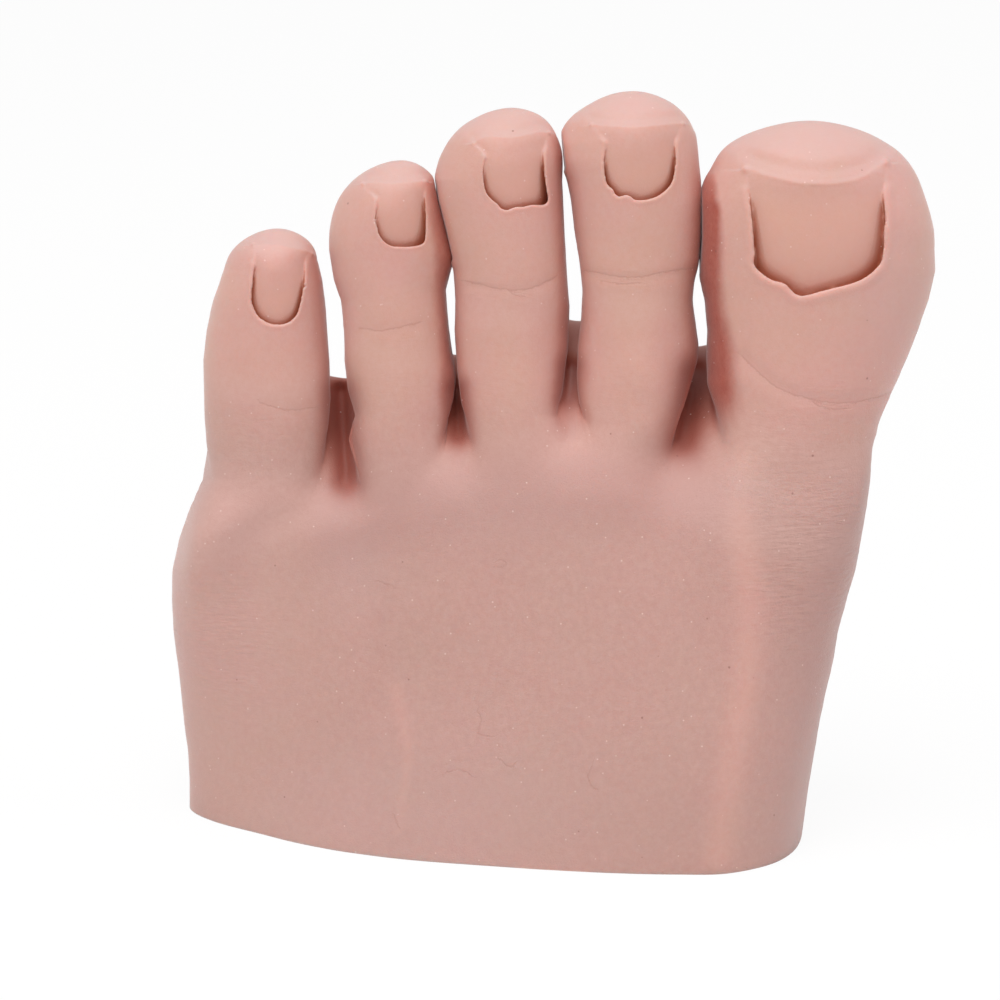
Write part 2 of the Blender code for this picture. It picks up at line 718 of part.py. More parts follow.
def nail_cutter(number):
    """Cutter for the open nail bed and for the pocket under the fold behind it."""
    toe = TOES[number]
    name, x, width = toe["name"], toe["nail_x"], toe["nail_width"]
    ends = []
    for share, depth in zip(toe["nail_span_share"], (NAIL_DEPTH, NAIL_END_DEPTH)):
        centre, _, half_depth = toe_section(number, share)
        ends.append(Vector((x, centre.y - half_depth + depth, centre.z)))
    bottom, top = ends
    middle, lean = (bottom + top) / 2, (top - bottom).normalized()
    deep = NAIL_CURVE_DEEP_SHARE * width
    wide = NAIL_CURVE_WIDE_SHARE * width

    def bed(grow, label):
        turn = lean.to_track_quat("Z", "Y").to_matrix().to_4x4()
        shape = Matrix.Diagonal((wide + grow, deep + grow, 1, 1))
        place = Matrix.Translation(middle + Vector((0, deep, 0))) @ turn @ shape
        return cutter(cylinder_mesh(1, 2 * OVERRUN, 2 * ROUND_STEPS, place), f"{name}_{label}")

    front = middle.y + deep - OVERRUN / 2
    well = extruded(nail_outline(x, width, bottom.z, top.z), OVERRUN, front_view(front))
    under = nail_outline(x, width, bottom.z - NAIL_POCKET, (bottom.z + top.z) / 2)
    pocket = bed(NAIL_SLOT, "pocket")
    under_cutter = cutter(extruded(under, OVERRUN, front_view(front)), f"{name}_pocket_outline")
    boolean(pocket, under_cutter, "INTERSECT", "Pocket outline")
    tool = cutter(well, f"{name}_nail")
    boolean(tool, pocket, "UNION", "Pocket")
    boolean(tool, bed(0, "bed"), "DIFFERENCE", "Nail bed")
    return tool


def empty(name, location, parent=None):
    frame = bpy.data.objects.new(name, None)
    PARTS.objects.link(frame)
    frame.parent = parent
    frame.location = location - (parent.matrix_world.translation if parent else Vector())
    bpy.context.view_layer.update()
    return frame


def hang(part, frame):
    """Puts a part's origin on its joint, and the part under the joint's empty."""
    part.data.transform(Matrix.Translation(-frame.matrix_world.translation))
    part.parent = frame


def toe_joints(number):
    toe = TOES[number]
    name = toe["name"]
    if "tip_joint_share" not in toe:
        return [Joint(name + "_knuckle", number, toe["knuckle_share"], BIG_TOE_SEAM_DEG)]
    return [
        Joint(name + "_knuckle", number, toe["knuckle_share"], KNUCKLE_SEAM_DEG),
        Joint(name + "_tip_joint", number, toe["tip_joint_share"], TIP_SEAM_DEG),
    ]


def add_toe(number, joints, form):
    """Skins, bones and pins of one toe, each hung on its joint."""
    toe = TOES[number]
    name, tip = toe["name"], Vector(toe["tip"])
    whole = carved(form, "INTERSECT", [joints[0].toe_side()], tip)
    carrier_start = prong_start(joints[0])
    frame = None
    for joint, next_joint in zip(joints, joints[1:] + [None]):
        section = "tip" if next_joint is None else "middle"
        mesh = whole
        if next_joint:
            room = next_joint.carrier_side(*next_joint.sides(OVERRUN))
            mesh = carved(whole, "DIFFERENCE", [room], joint.centre)
            whole = carved(whole, "INTERSECT", [next_joint.toe_side()], tip)
        skin = keep(mesh, f"{name}_{section}_skin", SILICONE)
        end = next_joint.centre if next_joint else joint.centre.lerp(tip, TIP_BONE_REACH_SHARE)
        end.x = joint.centre.x
        carve_bars(skin, link_bars(joint.centre, end, next_joint, LINK_GAP))
        boolean(skin, joint.tongue_slot(carrier_start), "DIFFERENCE", "Room for the tongue")
        if next_joint is None:
            boolean(skin, nail_cutter(number), "DIFFERENCE", "Nail slot")
        link = bone(f"{name}_{section}_bone", joint, end, next_joint)
        rod = across_cylinder(joint.centre, PIN_RADIUS, LINK_WIDTH, PIN_STEPS)
        pin = keep(rod, joint.label + "_pin", STEEL)
        carrier_start = joint.centre
        frame = empty(joint.label, joint.centre, frame)
        for part in (skin, link, pin):
            hang(part, frame)


def main():
    form = foot_form()
    joints = [toe_joints(number) for number in range(len(TOES))]
    knuckles = [chain[0] for chain in joints]
    edges = [edge for joint in knuckles for edge in joint.sides(joint.skin_half_width)]
    webs = [(left + right) / 2 for left, right in zip(edges[1:-1:2], edges[2:-1:2])]
    limits = [edges[0] - OVERRUN] + webs + [edges[-1] + OVERRUN]
    sockets = [joint.carrier_side(*pair) for joint, pair in zip(knuckles, zip(limits, limits[1:]))]
    below = Vector((0, 0, -OVERRUN))
    foot = keep(carved(form, "DIFFERENCE", sockets, below), "foot_skin", SILICONE)
    carve_bars(foot, [core_plate(knuckles, LINK_GAP)])
    for joint in knuckles:
        carve_bars(foot, link_bars(prong_start(joint), joint.centre, joint, LINK_GAP))
    metatarsal_core(knuckles)
    for number, chain in enumerate(joints):
        add_toe(number, chain, form)


main()
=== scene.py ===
import json
import math

import bmesh
import bpy
import numpy as np
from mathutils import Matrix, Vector
from mathutils.bvhtree import BVHTree
from mathutils.kdtree import KDTree


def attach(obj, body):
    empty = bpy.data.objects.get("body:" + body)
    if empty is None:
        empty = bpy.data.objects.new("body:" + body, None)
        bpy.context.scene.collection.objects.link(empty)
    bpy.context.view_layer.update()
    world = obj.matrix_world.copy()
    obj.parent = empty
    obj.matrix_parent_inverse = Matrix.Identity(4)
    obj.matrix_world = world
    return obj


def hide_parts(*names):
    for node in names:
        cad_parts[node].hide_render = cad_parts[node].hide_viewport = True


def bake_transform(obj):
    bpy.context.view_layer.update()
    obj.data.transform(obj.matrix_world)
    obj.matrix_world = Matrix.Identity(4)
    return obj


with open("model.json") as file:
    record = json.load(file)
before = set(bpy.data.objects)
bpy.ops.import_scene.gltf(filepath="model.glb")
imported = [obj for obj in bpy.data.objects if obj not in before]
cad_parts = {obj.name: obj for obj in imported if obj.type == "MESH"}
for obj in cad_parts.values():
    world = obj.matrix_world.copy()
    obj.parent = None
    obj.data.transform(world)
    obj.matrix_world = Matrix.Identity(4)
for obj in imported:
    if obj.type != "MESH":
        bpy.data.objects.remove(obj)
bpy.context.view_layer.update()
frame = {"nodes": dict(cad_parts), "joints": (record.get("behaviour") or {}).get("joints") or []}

MM = 0.001

# Where the photograph was taken from
PICTURE = 1000
PIXEL = 0.135 * MM
CAMERA_TILT_DEG = 15
CAMERA_DISTANCE = 0.60
CUT_EDGE_PIXEL = (495, 871)
CUT_EDGE_POINT = (0, -22 * MM, 0)
SENSOR_WIDTH = 36

# Forefoot
BLOCK_HEIGHT = 50 * MM
LATERAL_REACH = 43.6 * MM
MEDIAL_REACH = 51 * MM
INSTEP_REACH = 23.6 * MM
SOLE_REACH = 20 * MM
OUTLINE_HEIGHT_SHARES = (-0.16, 0.0, 0.16, 0.33, 0.44, 0.55, 0.66, 0.77, 0.88, 1.0)
LATERAL_SHARES = (0.975, 0.975, 0.973, 0.993, 1.010, 1.022, 1.020, 0.997, 0.945, 0.895)
MEDIAL_SHARES = (0.806, 0.826, 0.846, 0.870, 0.889, 0.909, 0.935, 0.964, 0.985, 0.998)
LEVEL_SHARES = (-0.12, 0.0, 0.22, 0.46, 0.70, 0.88)
ACROSS_SHARES = (0.05, 0.25, 0.50, 0.77, 0.90, 0.965)
TOP_SHARES = (
    (0.02, 0.54, 0.83, 0.99, 0.90, 0.66),
    (0.00, 0.495, 0.76, 0.895, 0.815, 0.60),
    (-0.03, 0.41, 0.69, 0.87, 0.76, 0.54),
    (-0.04, 0.30, 0.54, 0.73, 0.61, 0.41),
    (-0.03, 0.20, 0.38, 0.55, 0.49, 0.36),
    (0.00, 0.13, 0.26, 0.40, 0.43, 0.34),
)
SOLE_SHARES = (
    (0.70, 0.92, 0.90, 0.80, 0.66, 0.60),
    (0.74, 0.95, 0.92, 0.84, 0.75, 0.67),
    (0.79, 0.98, 0.95, 0.91, 0.87, 0.80),
    (0.84, 1.00, 0.97, 0.99, 0.98, 0.90),
    (0.86, 0.99, 0.97, 1.02, 1.03, 0.95),
    (0.79, 0.88, 0.89, 0.93, 0.95, 0.89),
)
LATERAL_SIDE_SHARES = (0.35, 0.36, 0.38, 0.42, 0.45, 0.46)
MEDIAL_SIDE_SHARES = (-0.14, -0.10, -0.02, 0.06, 0.12, 0.17)
COLUMNS_PER_TOE = 3
WEB_TOP_SHARES = (0.90, 0.91, 1.02, 1.08, 1.03, 1.0)
WEB_SOLE_SHARES = (1.08, 1.20, 1.27, 1.36, 1.29, 1.16)
ROOT_CORNER_ACROSS_SHARE = 0.80
ROOT_CORNER_DEEP_SHARE = 0.84

# Toes, from the little toe to the big toe, in millimetres. A ring is how far it lies from root to
# tip, then its shift aside, its width and depth, its drop towards the sole, and its tilt along the
# webs, each a share of the toe's length, width, width, depth, depth and web heights. A nail's
# outline and its free edge are in pixels of the photograph, down the left side and back up the right.
TOES = [
    dict(
        name="little_toe",
        root_x=-30.9, root_width=16.4, root_top=-0.8, root_sole=17.5,
        tip=(-29.5, 10.5, 81.0), width=17.1, depth=15.0,
        ring_shares=(
            (0.13, -0.010, 0.970, 1.10, 0.00, 0.75),
            (0.36, -0.020, 1.000, 0.98, -0.02, 0.34),
            (0.57, -0.040, 0.980, 1.00, 0.03, 0.0),
            (0.76, -0.030, 0.850, 0.94, 0.03, 0.0),
            (0.91, -0.010, 0.635, 0.72, 0.00, 0.0),
        ),
        nail=(
            (253.8, 246.2), (255.2, 251.8), (253.8, 264.4), (252.4, 281.3), (251.0, 299.5),
            (253.1, 307.9), (258.7, 317.8), (269.9, 324.1), (281.1, 324.8), (289.5, 322.0),
            (296.6, 315.0), (300.1, 303.7), (302.9, 288.3), (305.0, 274.3), (305.3, 263.0),
            (306.4, 258.1), (311.3, 254.3),
        ),
        free_edge=((297, 250), (284, 248), (268, 246)),
        bed_mm=(1.15, 0.03, 0.25),
    ),
    dict(
        name="fourth_toe",
        root_x=-12.8, root_width=12.6, root_top=-2.3, root_sole=16.5,
        tip=(-12.7, 10.3, 90.6), width=16.0, depth=15.0,
        ring_shares=(
            (0.13, -0.020, 0.940, 1.08, 0.00, 0.75),
            (0.33, -0.045, 0.910, 0.95, -0.02, 0.34),
            (0.56, -0.112, 0.970, 1.00, 0.03, 0.0),
            (0.76, -0.115, 0.950, 0.97, 0.03, 0.0),
            (0.91, -0.055, 0.735, 0.74, 0.00, 0.0),
        ),
        nail=(
            (363.2, 184.5), (366.7, 190.1), (375.8, 197.1), (377.2, 201.3), (376.8, 213.9),
            (377.9, 228.0), (380.7, 236.4), (387.8, 244.1), (396.2, 246.2), (411.6, 246.2),
            (421.4, 244.1), (424.9, 239.2), (425.2, 218.1), (424.9, 197.1), (425.6, 182.0),
        ),
        free_edge=((414, 182.5), (400, 184), (382, 184)),
        bed_mm=(1.25, 0.03, 0.3),
    ),
    dict(
        name="middle_toe",
        root_x=3.4, root_width=14.4, root_top=-3.3, root_sole=16.0,
        tip=(2.4, 10.2, 97.7), width=16.3, depth=16.0,
        ring_shares=(
            (0.12, -0.010, 0.950, 1.06, 0.00, 0.75),
            (0.31, -0.035, 0.915, 0.93, -0.02, 0.34),
            (0.54, -0.070, 0.945, 1.00, 0.03, 0.0),
            (0.77, -0.105, 0.990, 0.98, 0.03, 0.0),
            (0.915, -0.070, 0.830, 0.74, 0.00, 0.0),
        ),
        nail=(
            (473.4, 143.8), (479.5, 148.5), (485.4, 155.4), (484.6, 162.5), (484.1, 171.4),
            (485.0, 184.8), (487.2, 192.9), (492.1, 199.1), (497.5, 203.6), (501.0, 208.0),
            (506.4, 209.8), (510.9, 208.5), (515.4, 206.7), (524.3, 206.3), (531.4, 204.5),
            (540.4, 204.9), (545.7, 204.0), (547.9, 200.0), (547.3, 194.6), (545.7, 184.8),
            (544.4, 175.9), (543.5, 164.3), (543.5, 153.6), (545.3, 147.3), (547.9, 140.0),
            (548.5, 133.0),
        ),
        free_edge=((536, 133), (524, 136), (512, 138), (500, 138), (487, 137)),
        bed_mm=(1.3, 0.03, 0.3),
    ),
    dict(
        name="second_toe",
        root_x=18.4, root_width=12.6, root_top=-4.5, root_sole=15.8,
        tip=(18.4, 10.0, 100.0), width=18.3, depth=16.8,
        ring_shares=(
            (0.12, 0.045, 0.830, 1.06, 0.00, 0.75),
            (0.32, 0.040, 0.830, 0.93, -0.02, 0.34),
            (0.56, 0.020, 0.945, 1.00, 0.03, 0.0),
            (0.79, 0.000, 0.975, 0.98, 0.03, 0.0),
            (0.92, 0.000, 0.815, 0.74, 0.00, 0.0),
        ),
        nail=(
            (591.3, 125.2), (597.5, 131.4), (602.9, 138.6), (606.0, 142.1), (605.5, 149.3),
            (604.6, 158.2), (604.6, 169.8), (605.5, 179.6), (608.2, 185.9), (612.7, 189.5),
            (614.5, 193.5), (618.0, 196.6), (622.5, 196.2), (626.1, 194.8), (630.5, 196.6),
            (634.1, 199.7), (640.4, 200.6), (649.3, 199.3), (656.4, 197.0), (663.6, 192.1),
            (669.8, 185.9), (673.0, 178.8), (674.7, 169.8), (675.2, 160.9), (675.2, 147.5),
            (676.1, 140.4), (679.6, 132.3), (682.3, 124.3),
        ),
        free_edge=((668, 125), (652, 127), (634, 128), (616, 127), (602, 126)),
        bed_mm=(1.3, 0.03, 0.3),
    ),
    dict(
        name="big_toe",
        root_x=40.2, root_width=21.9, root_top=-8.3, root_sole=17.5,
        tip=(41.9, 8.3, 96.2), width=31.5, depth=24.5,
        ring_shares=(
            (0.12, 0.030, 0.800, 1.03, 0.00, 0.75),
            (0.33, 0.072, 0.918, 0.96, -0.01, 0.34),
            (0.56, 0.078, 0.998, 1.00, 0.02, 0.0),
            (0.77, 0.044, 0.922, 0.91, 0.02, 0.0),
            (0.915, 0.012, 0.700, 0.66, 0.00, 0.0),
        ),
        nail=(
            (746.0, 170.0), (746.5, 180.0), (748.0, 190.0), (750.5, 208.0), (753.0, 229.0),
            (754.0, 245.0), (755.0, 255.0), (753.5, 263.0), (757.0, 269.0), (764.0, 275.0),
            (772.0, 280.0), (780.0, 282.0), (786.0, 284.5), (790.0, 289.0), (795.0, 294.0),
            (801.0, 296.0), (809.0, 295.0), (819.0, 292.0), (835.0, 288.0), (850.0, 284.0),
            (861.0, 280.0), (870.0, 274.5), (876.0, 269.0), (881.0, 263.0), (883.0, 255.0),
            (884.0, 245.0), (884.0, 232.0), (885.5, 222.0), (885.0, 209.5), (884.0, 197.0),
            (885.0, 188.0), (886.5, 177.0), (885.0, 163.0),
        ),
        free_edge=(
            (871, 173.5), (859, 180), (847, 183), (832, 185), (813, 185), (795, 183.5),
            (780, 180), (764, 176), (752, 171),
        ),
        bed_mm=(2.4, 0.03, 0.6),
    ),
]
# Where the photograph shows the sides of the toes: toe, side, and pixels down that side
TOE_SIDES = (
    (0, -1, (
        (223, 270), (212, 300), (206, 330), (203, 360), (204, 390), (205, 420), (207, 450), (202, 480),
        (189, 510), (179, 540), (173, 570), (172, 600), (173, 630), (177, 660), (181, 690),
        (184, 720), (188, 750), (189, 780), (189, 800),
    )),
    (0, 1, ((318, 260), (323, 280), (326, 300), (328, 330), (330, 360), (331, 400), (329, 430))),
    (1, -1, ((329, 250), (333, 280), (340, 300), (343, 330), (344, 360), (348, 390), (357, 420))),
    (1, 1, (
        (438, 180), (442, 200), (450, 232), (456, 254), (451, 270), (446, 290), (448, 310),
        (451, 335), (454, 360), (456, 378), (454, 395), (450, 415),
    )),
    (2, -1, (
        (455, 130), (446, 142), (440, 155), (436, 168), (433, 180), (434, 200), (441, 232), (448, 254),
        (453, 270), (455, 300), (454, 330), (457, 370), (461, 400), (466, 420),
    )),
    (2, 1, (
        (541, 111), (550, 118), (555, 128), (560, 140), (564, 155), (563, 180), (564, 200), (566, 240),
        (568, 280), (570, 305), (568, 350), (562, 395), (556, 418),
    )),
    (3, -1, (
        (585, 103), (572, 111), (564, 121), (560, 131), (556, 142), (558, 160), (566, 180), (570, 200),
        (573, 230), (578, 258), (582, 290), (581, 316), (577, 350), (576, 375), (579, 405),
    )),
    (3, 1, (
        (676, 103), (684, 112), (690, 121), (696, 134), (698, 150), (700, 175), (704, 200), (704, 235),
        (701, 260), (695, 282), (693, 300), (696, 320), (699, 345), (698, 362), (691, 388), (682, 415),
    )),
    (4, -1, (
        (714, 160), (704, 180), (697, 200), (696, 235), (697, 260), (699, 280), (704, 300),
        (707, 330), (706, 360), (706, 390),
    )),
    (4, 1, (
        (934, 250), (935, 270), (929, 300), (919, 330), (907, 360), (894, 390), (881, 420), (873, 450),
        (871, 480), (867, 510), (862, 540), (856, 570), (847, 600), (838, 630), (833, 660),
        (826, 690), (820, 720), (815, 750), (810, 780), (806, 810),
    )),
)
# Where neighbours press flat against each other: toes, pixels down the line, and where it ends
CONTACTS = (
    (1, 2, ((431, 160), (435, 180), (438, 200), (446, 232), (452, 258)), 258),
    (2, 3, ((560, 120), (562, 140), (564.5, 168)), 168),
    (3, 4, ((701, 150), (700.5, 200), (700, 240), (698, 272)), 272),
)
# Valleys between the toes' roots: pixels down each, half width in pixels and depth in millimetres
VALLEYS = (
    (((341, 395), (344, 440), (346, 468), (346, 482)), 11, 2.4),
    (((457, 390), (459, 420), (459, 436)), 8.5, 1.6),
    (((570, 368), (568, 386), (567, 398)), 9, 1.2),
    (((697, 375), (692, 405), (685, 440)), 13, 1.8),
)
# The valleys' painted dark shade reaches this much wider than their dents
VALLEY_TINT_SHARE = 1.6
VALLEY_FACING = (0.1, 0.7)
RELIEF_FACING = (0.0, 0.5)
CREASE_FACING = (0.1, 0.5)
TINT_FACING = (-0.1, 0.4)
CONTACT_GAP = 0.03 * MM
CONTACT_DEPTH = 9 * MM
CONTACT_TURN = 0.06
CONTACT_ROUNDING = 0.05 * MM
PARTING_PIXELS = 25
PARTING = 4 * MM
SIDE_FADE_PIXELS = 20
BASE_FADE_PIXELS = 400
SIDE_SHARPNESS = 1.5
MEASURED_STEP = 5.0
MEASURED_REACH = 4
LINE_STEPS = 4
LINE_REACH = 3
SKIN_AROUND_TOE = 2

FIT_ROUNDS = 12
FOOT_LEVELS = 4
TOE_LEVELS = 5
SHADE_LEVELS = 3

# Where the skin's pieces meet: each toe's knuckle lies at its root, and its tip joint past the border
TIP_BORDER_BACK = 2.5 * MM
TIP_BORDER_TILT_DEG = 20
TIP_BEND = 9.5 * MM
BIG_TOE_BEND = 15 * MM
BIG_TOE_STUB = 1.5 * MM
BORDER_MARGIN = 0.2 * MM

# Nail wells. A bed's three depths in millimetres, in the table of toes, are those at its back and at
# the free edge, and what its sides have more near the free edge.
BED_CURVE = 1.25
BED_MIDDLE, BED_SIDES, BED_SLANT = 0.80, 0.28, 0.06
BED_SIDE_START = (0.06, 0.3)
WELL_FADE_PIXELS = (8, 18)
WELL_FACING = -0.3
WELL_DEPTHS = (0.15 * MM, 0.4 * MM)
WELL_CALM = 0.75
WALL_FADE_PIXELS = 4
WALL_TILTS = (0.15, 0.7)
WALL_DEPTHS = (0.1 * MM, 0.35 * MM)
SLOT_REACH = 4 * MM
PRISM_MARGIN = 5 * MM
NAIL_STEPS = 3
POCKET_SHARES = (0.25, 0.9)
VOXEL = 0.17 * MM
BIG_TOE_VOXEL = 0.21 * MM
REMESH_OVERLAP = 1.4 * MM
POCKET_HIGH = 0.5 * MM
POCKET_PIXELS = 4.5
WALL_PIXELS = 9.0
RIM_ROUNDS = 4
RIM_SHARE = 0.5
SKIN_REACH = 2 * VOXEL

# How near to a plane a point is moved onto it, and counts as lying on it
WELD = 1e-7
ON_CUT = 1e-6
ON_RIM = 1e-5


def camera_axes():
    tilt = math.radians(CAMERA_TILT_DEG)
    right = Vector((1, 0, 0))
    up = Vector((0, math.sin(tilt), math.cos(tilt)))
    back = Vector((0, -math.cos(tilt), math.sin(tilt)))
    return right, up, back


RIGHT, UP, BACK = camera_axes()
FOCAL_PIXELS = CAMERA_DISTANCE / PIXEL


def camera_place():
    """Where the camera stands to see the cut edge at its pixel."""
    across = (PICTURE / 2 - CUT_EDGE_PIXEL[0]) * PIXEL
    rise = (CUT_EDGE_PIXEL[1] - PICTURE / 2) * PIXEL
    target = Vector(CUT_EDGE_POINT) + RIGHT * across + UP * rise
    target += BACK * (target.y / math.cos(math.radians(CAMERA_TILT_DEG)))
    return target + BACK * CAMERA_DISTANCE


EYE = camera_place()


def in_picture(points):
    """Pixel coordinates at which the camera sees points."""
    seen = points - np.array(EYE)
    depth = -(seen @ np.array(BACK))
    x = PICTURE / 2 + FOCAL_PIXELS * (seen @ np.array(RIGHT)) / depth
    y = PICTURE / 2 - FOCAL_PIXELS * (seen @ np.array(UP)) / depth
    return np.stack([x, y], axis=1)


def behind_pixel(pixel, y):
    """Point at the given depth that the camera sees at a pixel."""
    across = (pixel[0] - PICTURE / 2) / FOCAL_PIXELS
    rise = (PICTURE / 2 - pixel[1]) / FOCAL_PIXELS
    ray = RIGHT * across + UP * rise - BACK
    return EYE + ray * ((y - EYE.y) / ray.y)


def smooth_between(stations, values, at):
    """Value at a station, on a smooth curve through the given values."""
    last = len(stations) - 1
    at = min(max(at, stations[0]), stations[last])
    i = max(j for j in range(last) if stations[j] <= at)

    def slope(j):
        lo, hi = max(j - 1, 0), min(j + 1, last)
        return (values[hi] - values[lo]) / (stations[hi] - stations[lo])

    span = stations[i + 1] - stations[i]
    t = (at - stations[i]) / span
    start = (1 + 2 * t) * (1 - t) ** 2 * values[i] + t * (1 - t) ** 2 * span * slope(i)
    end = t**2 * (3 - 2 * t) * values[i + 1] - t**2 * (1 - t) * span * slope(i + 1)
    return start + end


def smoothstep(low, high, values):
    t = np.clip((values - low) / (high - low), 0, 1)
    return t * t * (3 - 2 * t)


def facing_camera(normals, limits):
    """How far skin faces the camera: 0 below the first limit and 1 above the second."""
    return smoothstep(*limits, normals @ np.array(BACK))


def root_ring(number):
    """Eight points round a toe's root: its left corner on top, then clockwise seen from the tip."""
    toe = TOES[number]
    half = toe["root_width"] / 2 * MM
    deep = (toe["root_sole"] - toe["root_top"]) / 2 * MM
    middle = (toe["root_sole"] + toe["root_top"]) / 2 * MM
    tops = [BLOCK_HEIGHT * share for share in WEB_TOP_SHARES[number : number + 2]]
    soles = [BLOCK_HEIGHT * share for share in WEB_SOLE_SHARES[number : number + 2]]
    points = []
    for i in range(8):
        u, v = (round(f(math.radians(45 * i - 135))) for f in (math.cos, math.sin))
        is_corner = u != 0 and v != 0
        across = u * half * (ROOT_CORNER_ACROSS_SHARE if is_corner else 1)
        down = v * deep * (ROOT_CORNER_DEEP_SHARE if is_corner else 1)
        heights = {-1: tops, 0: tops + soles, 1: soles}[v]
        kept = heights if u == 0 else heights[(u + 1) // 2 :: 2]
        points.append(Vector((toe["root_x"] * MM + across, middle + down, sum(kept) / len(kept))))
    return points


def toe_ring(number, ring):
    """Eight points round a toe at one of its rings."""
    toe = TOES[number]
    root = root_ring(number)
    along, aside, wide, deep, drop, tilt = ring
    root_centre = sum(root, Vector()) / len(root)
    centre = root_centre.lerp(Vector(toe["tip"]) * MM, along)
    centre += Vector((aside * toe["width"], drop * toe["depth"], 0)) * MM
    points = []
    for i in range(8):
        u, v = (f(math.radians(45 * i - 135)) for f in (math.cos, math.sin))
        rise = tilt * (root[i].z - root_centre.z)
        step = Vector((u * wide * toe["width"] / 2 * MM, v * deep * toe["depth"] / 2 * MM, rise))
        points.append(centre + step)
    return points


def root_rows():
    """The rings round the toes' roots, and their points along the top and along the sole."""
    roots = [root_ring(number) for number in range(len(TOES))]
    tops = [p for ring in roots for p in ring[:COLUMNS_PER_TOE]]
    soles = [p for ring in roots for p in (ring[6], ring[5], ring[4])]
    return roots, tops, soles


def body_ring(level_number):
    """Points round the forefoot at one level: the top row, big toe's side, sole row, other side."""
    level = LEVEL_SHARES[level_number]
    roots, top_row, sole_row = root_rows()
    left_root, right_root = roots[0][7], roots[-1][3]

    def side_reach(reach, table, height):
        return reach * smooth_between(OUTLINE_HEIGHT_SHARES, table, height / BLOCK_HEIGHT)

    def row(roots_above, reach, table):
        points = []
        for column, above in enumerate(roots_above):
            height = above.z * level
            left = -side_reach(LATERAL_REACH, LATERAL_SHARES, height)
            right = side_reach(MEDIAL_REACH, MEDIAL_SHARES, height)
            first, last = ACROSS_SHARES[0], ACROSS_SHARES[-1]
            even = first + (last - first) * column / (len(roots_above) - 1)
            above_share = (above.x - left_root.x) / (right_root.x - left_root.x)
            across = even + (above_share - even) * max(level, 0) ** 2
            depth = reach * smooth_between(ACROSS_SHARES, table[level_number], even)
            points.append(Vector((left + across * (right - left), depth, height)))
        return points

    def side(root, reach, table, depth_share):
        height = root.z * level
        return Vector((side_reach(reach, table, height), SOLE_REACH * depth_share, height))

    medial = side(right_root, MEDIAL_REACH, MEDIAL_SHARES, MEDIAL_SIDE_SHARES[level_number])
    lateral = side(left_root, -LATERAL_REACH, LATERAL_SHARES, LATERAL_SIDE_SHARES[level_number])
    tops = row(top_row, -INSTEP_REACH, TOP_SHARES)
    soles = row(sole_row, SOLE_REACH, SOLE_SHARES)
    return tops + [medial] + soles[::-1] + [lateral]


def foot_cage():
    """Coarse cage of the whole foot, with its points on the skin. Each toe's faces carry its number
    plus one as their material index, and those of the forefoot carry 0."""
    cage = bmesh.new()

    def ring_of(points):
        return [cage.verts.new(p) for p in points]

    def face(corners, owner):
        cage.faces.new(corners).material_index = owner

    def join(lower, upper, owner):
        for i in range(len(lower)):
            face((lower[i - 1], lower[i], upper[i], upper[i - 1]), owner)

    roots, top_points, sole_points = root_rows()
    rings = [ring_of(body_ring(number)) for number in range(len(LEVEL_SHARES))]
    rings.append(ring_of(top_points + [roots[-1][3]] + sole_points[::-1] + [roots[0][7]]))
    for lower, upper in zip(rings, rings[1:]):
        join(lower, upper, 0)

    columns = len(top_points)
    tops = rings[-1][:columns]
    soles = rings[-1][columns + 1 : -1][::-1]
    lefts = [rings[-1][-1]] + [cage.verts.new(ring[7]) for ring in roots[1:]]
    rights = [cage.verts.new(ring[3]) for ring in roots[:-1]] + [rings[-1][columns]]
    for web in range(len(TOES) - 1):
        last, first = COLUMNS_PER_TOE * (web + 1) - 1, COLUMNS_PER_TOE * (web + 1)
        face((tops[last], tops[first], lefts[web + 1], rights[web]), 0)
        face((rights[web], lefts[web + 1], soles[first], soles[last]), 0)

    for number, toe in enumerate(TOES):
        start = COLUMNS_PER_TOE * number
        top, sole = tops[start : start + COLUMNS_PER_TOE], soles[start : start + COLUMNS_PER_TOE]
        ring = top + [rights[number]] + sole[::-1] + [lefts[number]]
        for shares in toe["ring_shares"]:
            upper = ring_of(toe_ring(number, shares))
            join(ring, upper, number + 1)
            ring = upper
        tip = cage.verts.new(Vector(toe["tip"]) * MM)
        for i in (1, 3, 5, 7):
            face((ring[i - 1], ring[i], tip, ring[i - 2]), number + 1)
    return cage


def skin_point(vert):
    """Where the smooth skin lies at a point of the cage."""
    open_ends = [edge.other_vert(vert).co for edge in vert.link_edges if edge.is_boundary]
    if open_ends:
        return (open_ends[0] + 4 * vert.co + open_ends[1]) / 6
    count = len(vert.link_edges)
    near = sum((edge.other_vert(vert).co for edge in vert.link_edges), Vector())
    corners = [(face, list(face.verts).index(vert)) for face in vert.link_faces]
    far = sum((face.verts[(i + 2) % 4].co for face, i in corners), Vector())
    return (count**2 * vert.co + 4 * near + far) / (count * (count + 5))


def fitted_cage():
    """The cage, moved until the smooth skin passes through its measured points."""
    cage = foot_cage()
    goals = {vert: vert.co.copy() for vert in cage.verts}
    for _ in range(FIT_ROUNDS):
        moves = {vert: goal - skin_point(vert) for vert, goal in goals.items()}
        for vert, move in moves.items():
            vert.co += move
    return cage


CAGE = fitted_cage()


def shown(holder):
    """A plain mesh of what an object shows. The object is then removed."""
    bpy.context.view_layer.update()
    mesh = bpy.data.meshes.new_from_object(holder.evaluated_get(bpy.context.evaluated_depsgraph_get()))
    bpy.data.objects.remove(holder)
    return mesh


def holder_of(mesh, name):
    holder = bpy.data.objects.new(name, mesh)
    bpy.context.scene.collection.objects.link(holder)
    return holder


def read(items, field, size=1, kind=float):
    """One field of many items, each a number or a row of numbers."""
    values = np.empty(len(items) * size, kind)
    items.foreach_get(field, values)
    return values if size == 1 else values.reshape(-1, size)


def points_of(mesh):
    return read(mesh.vertices, "co", 3)


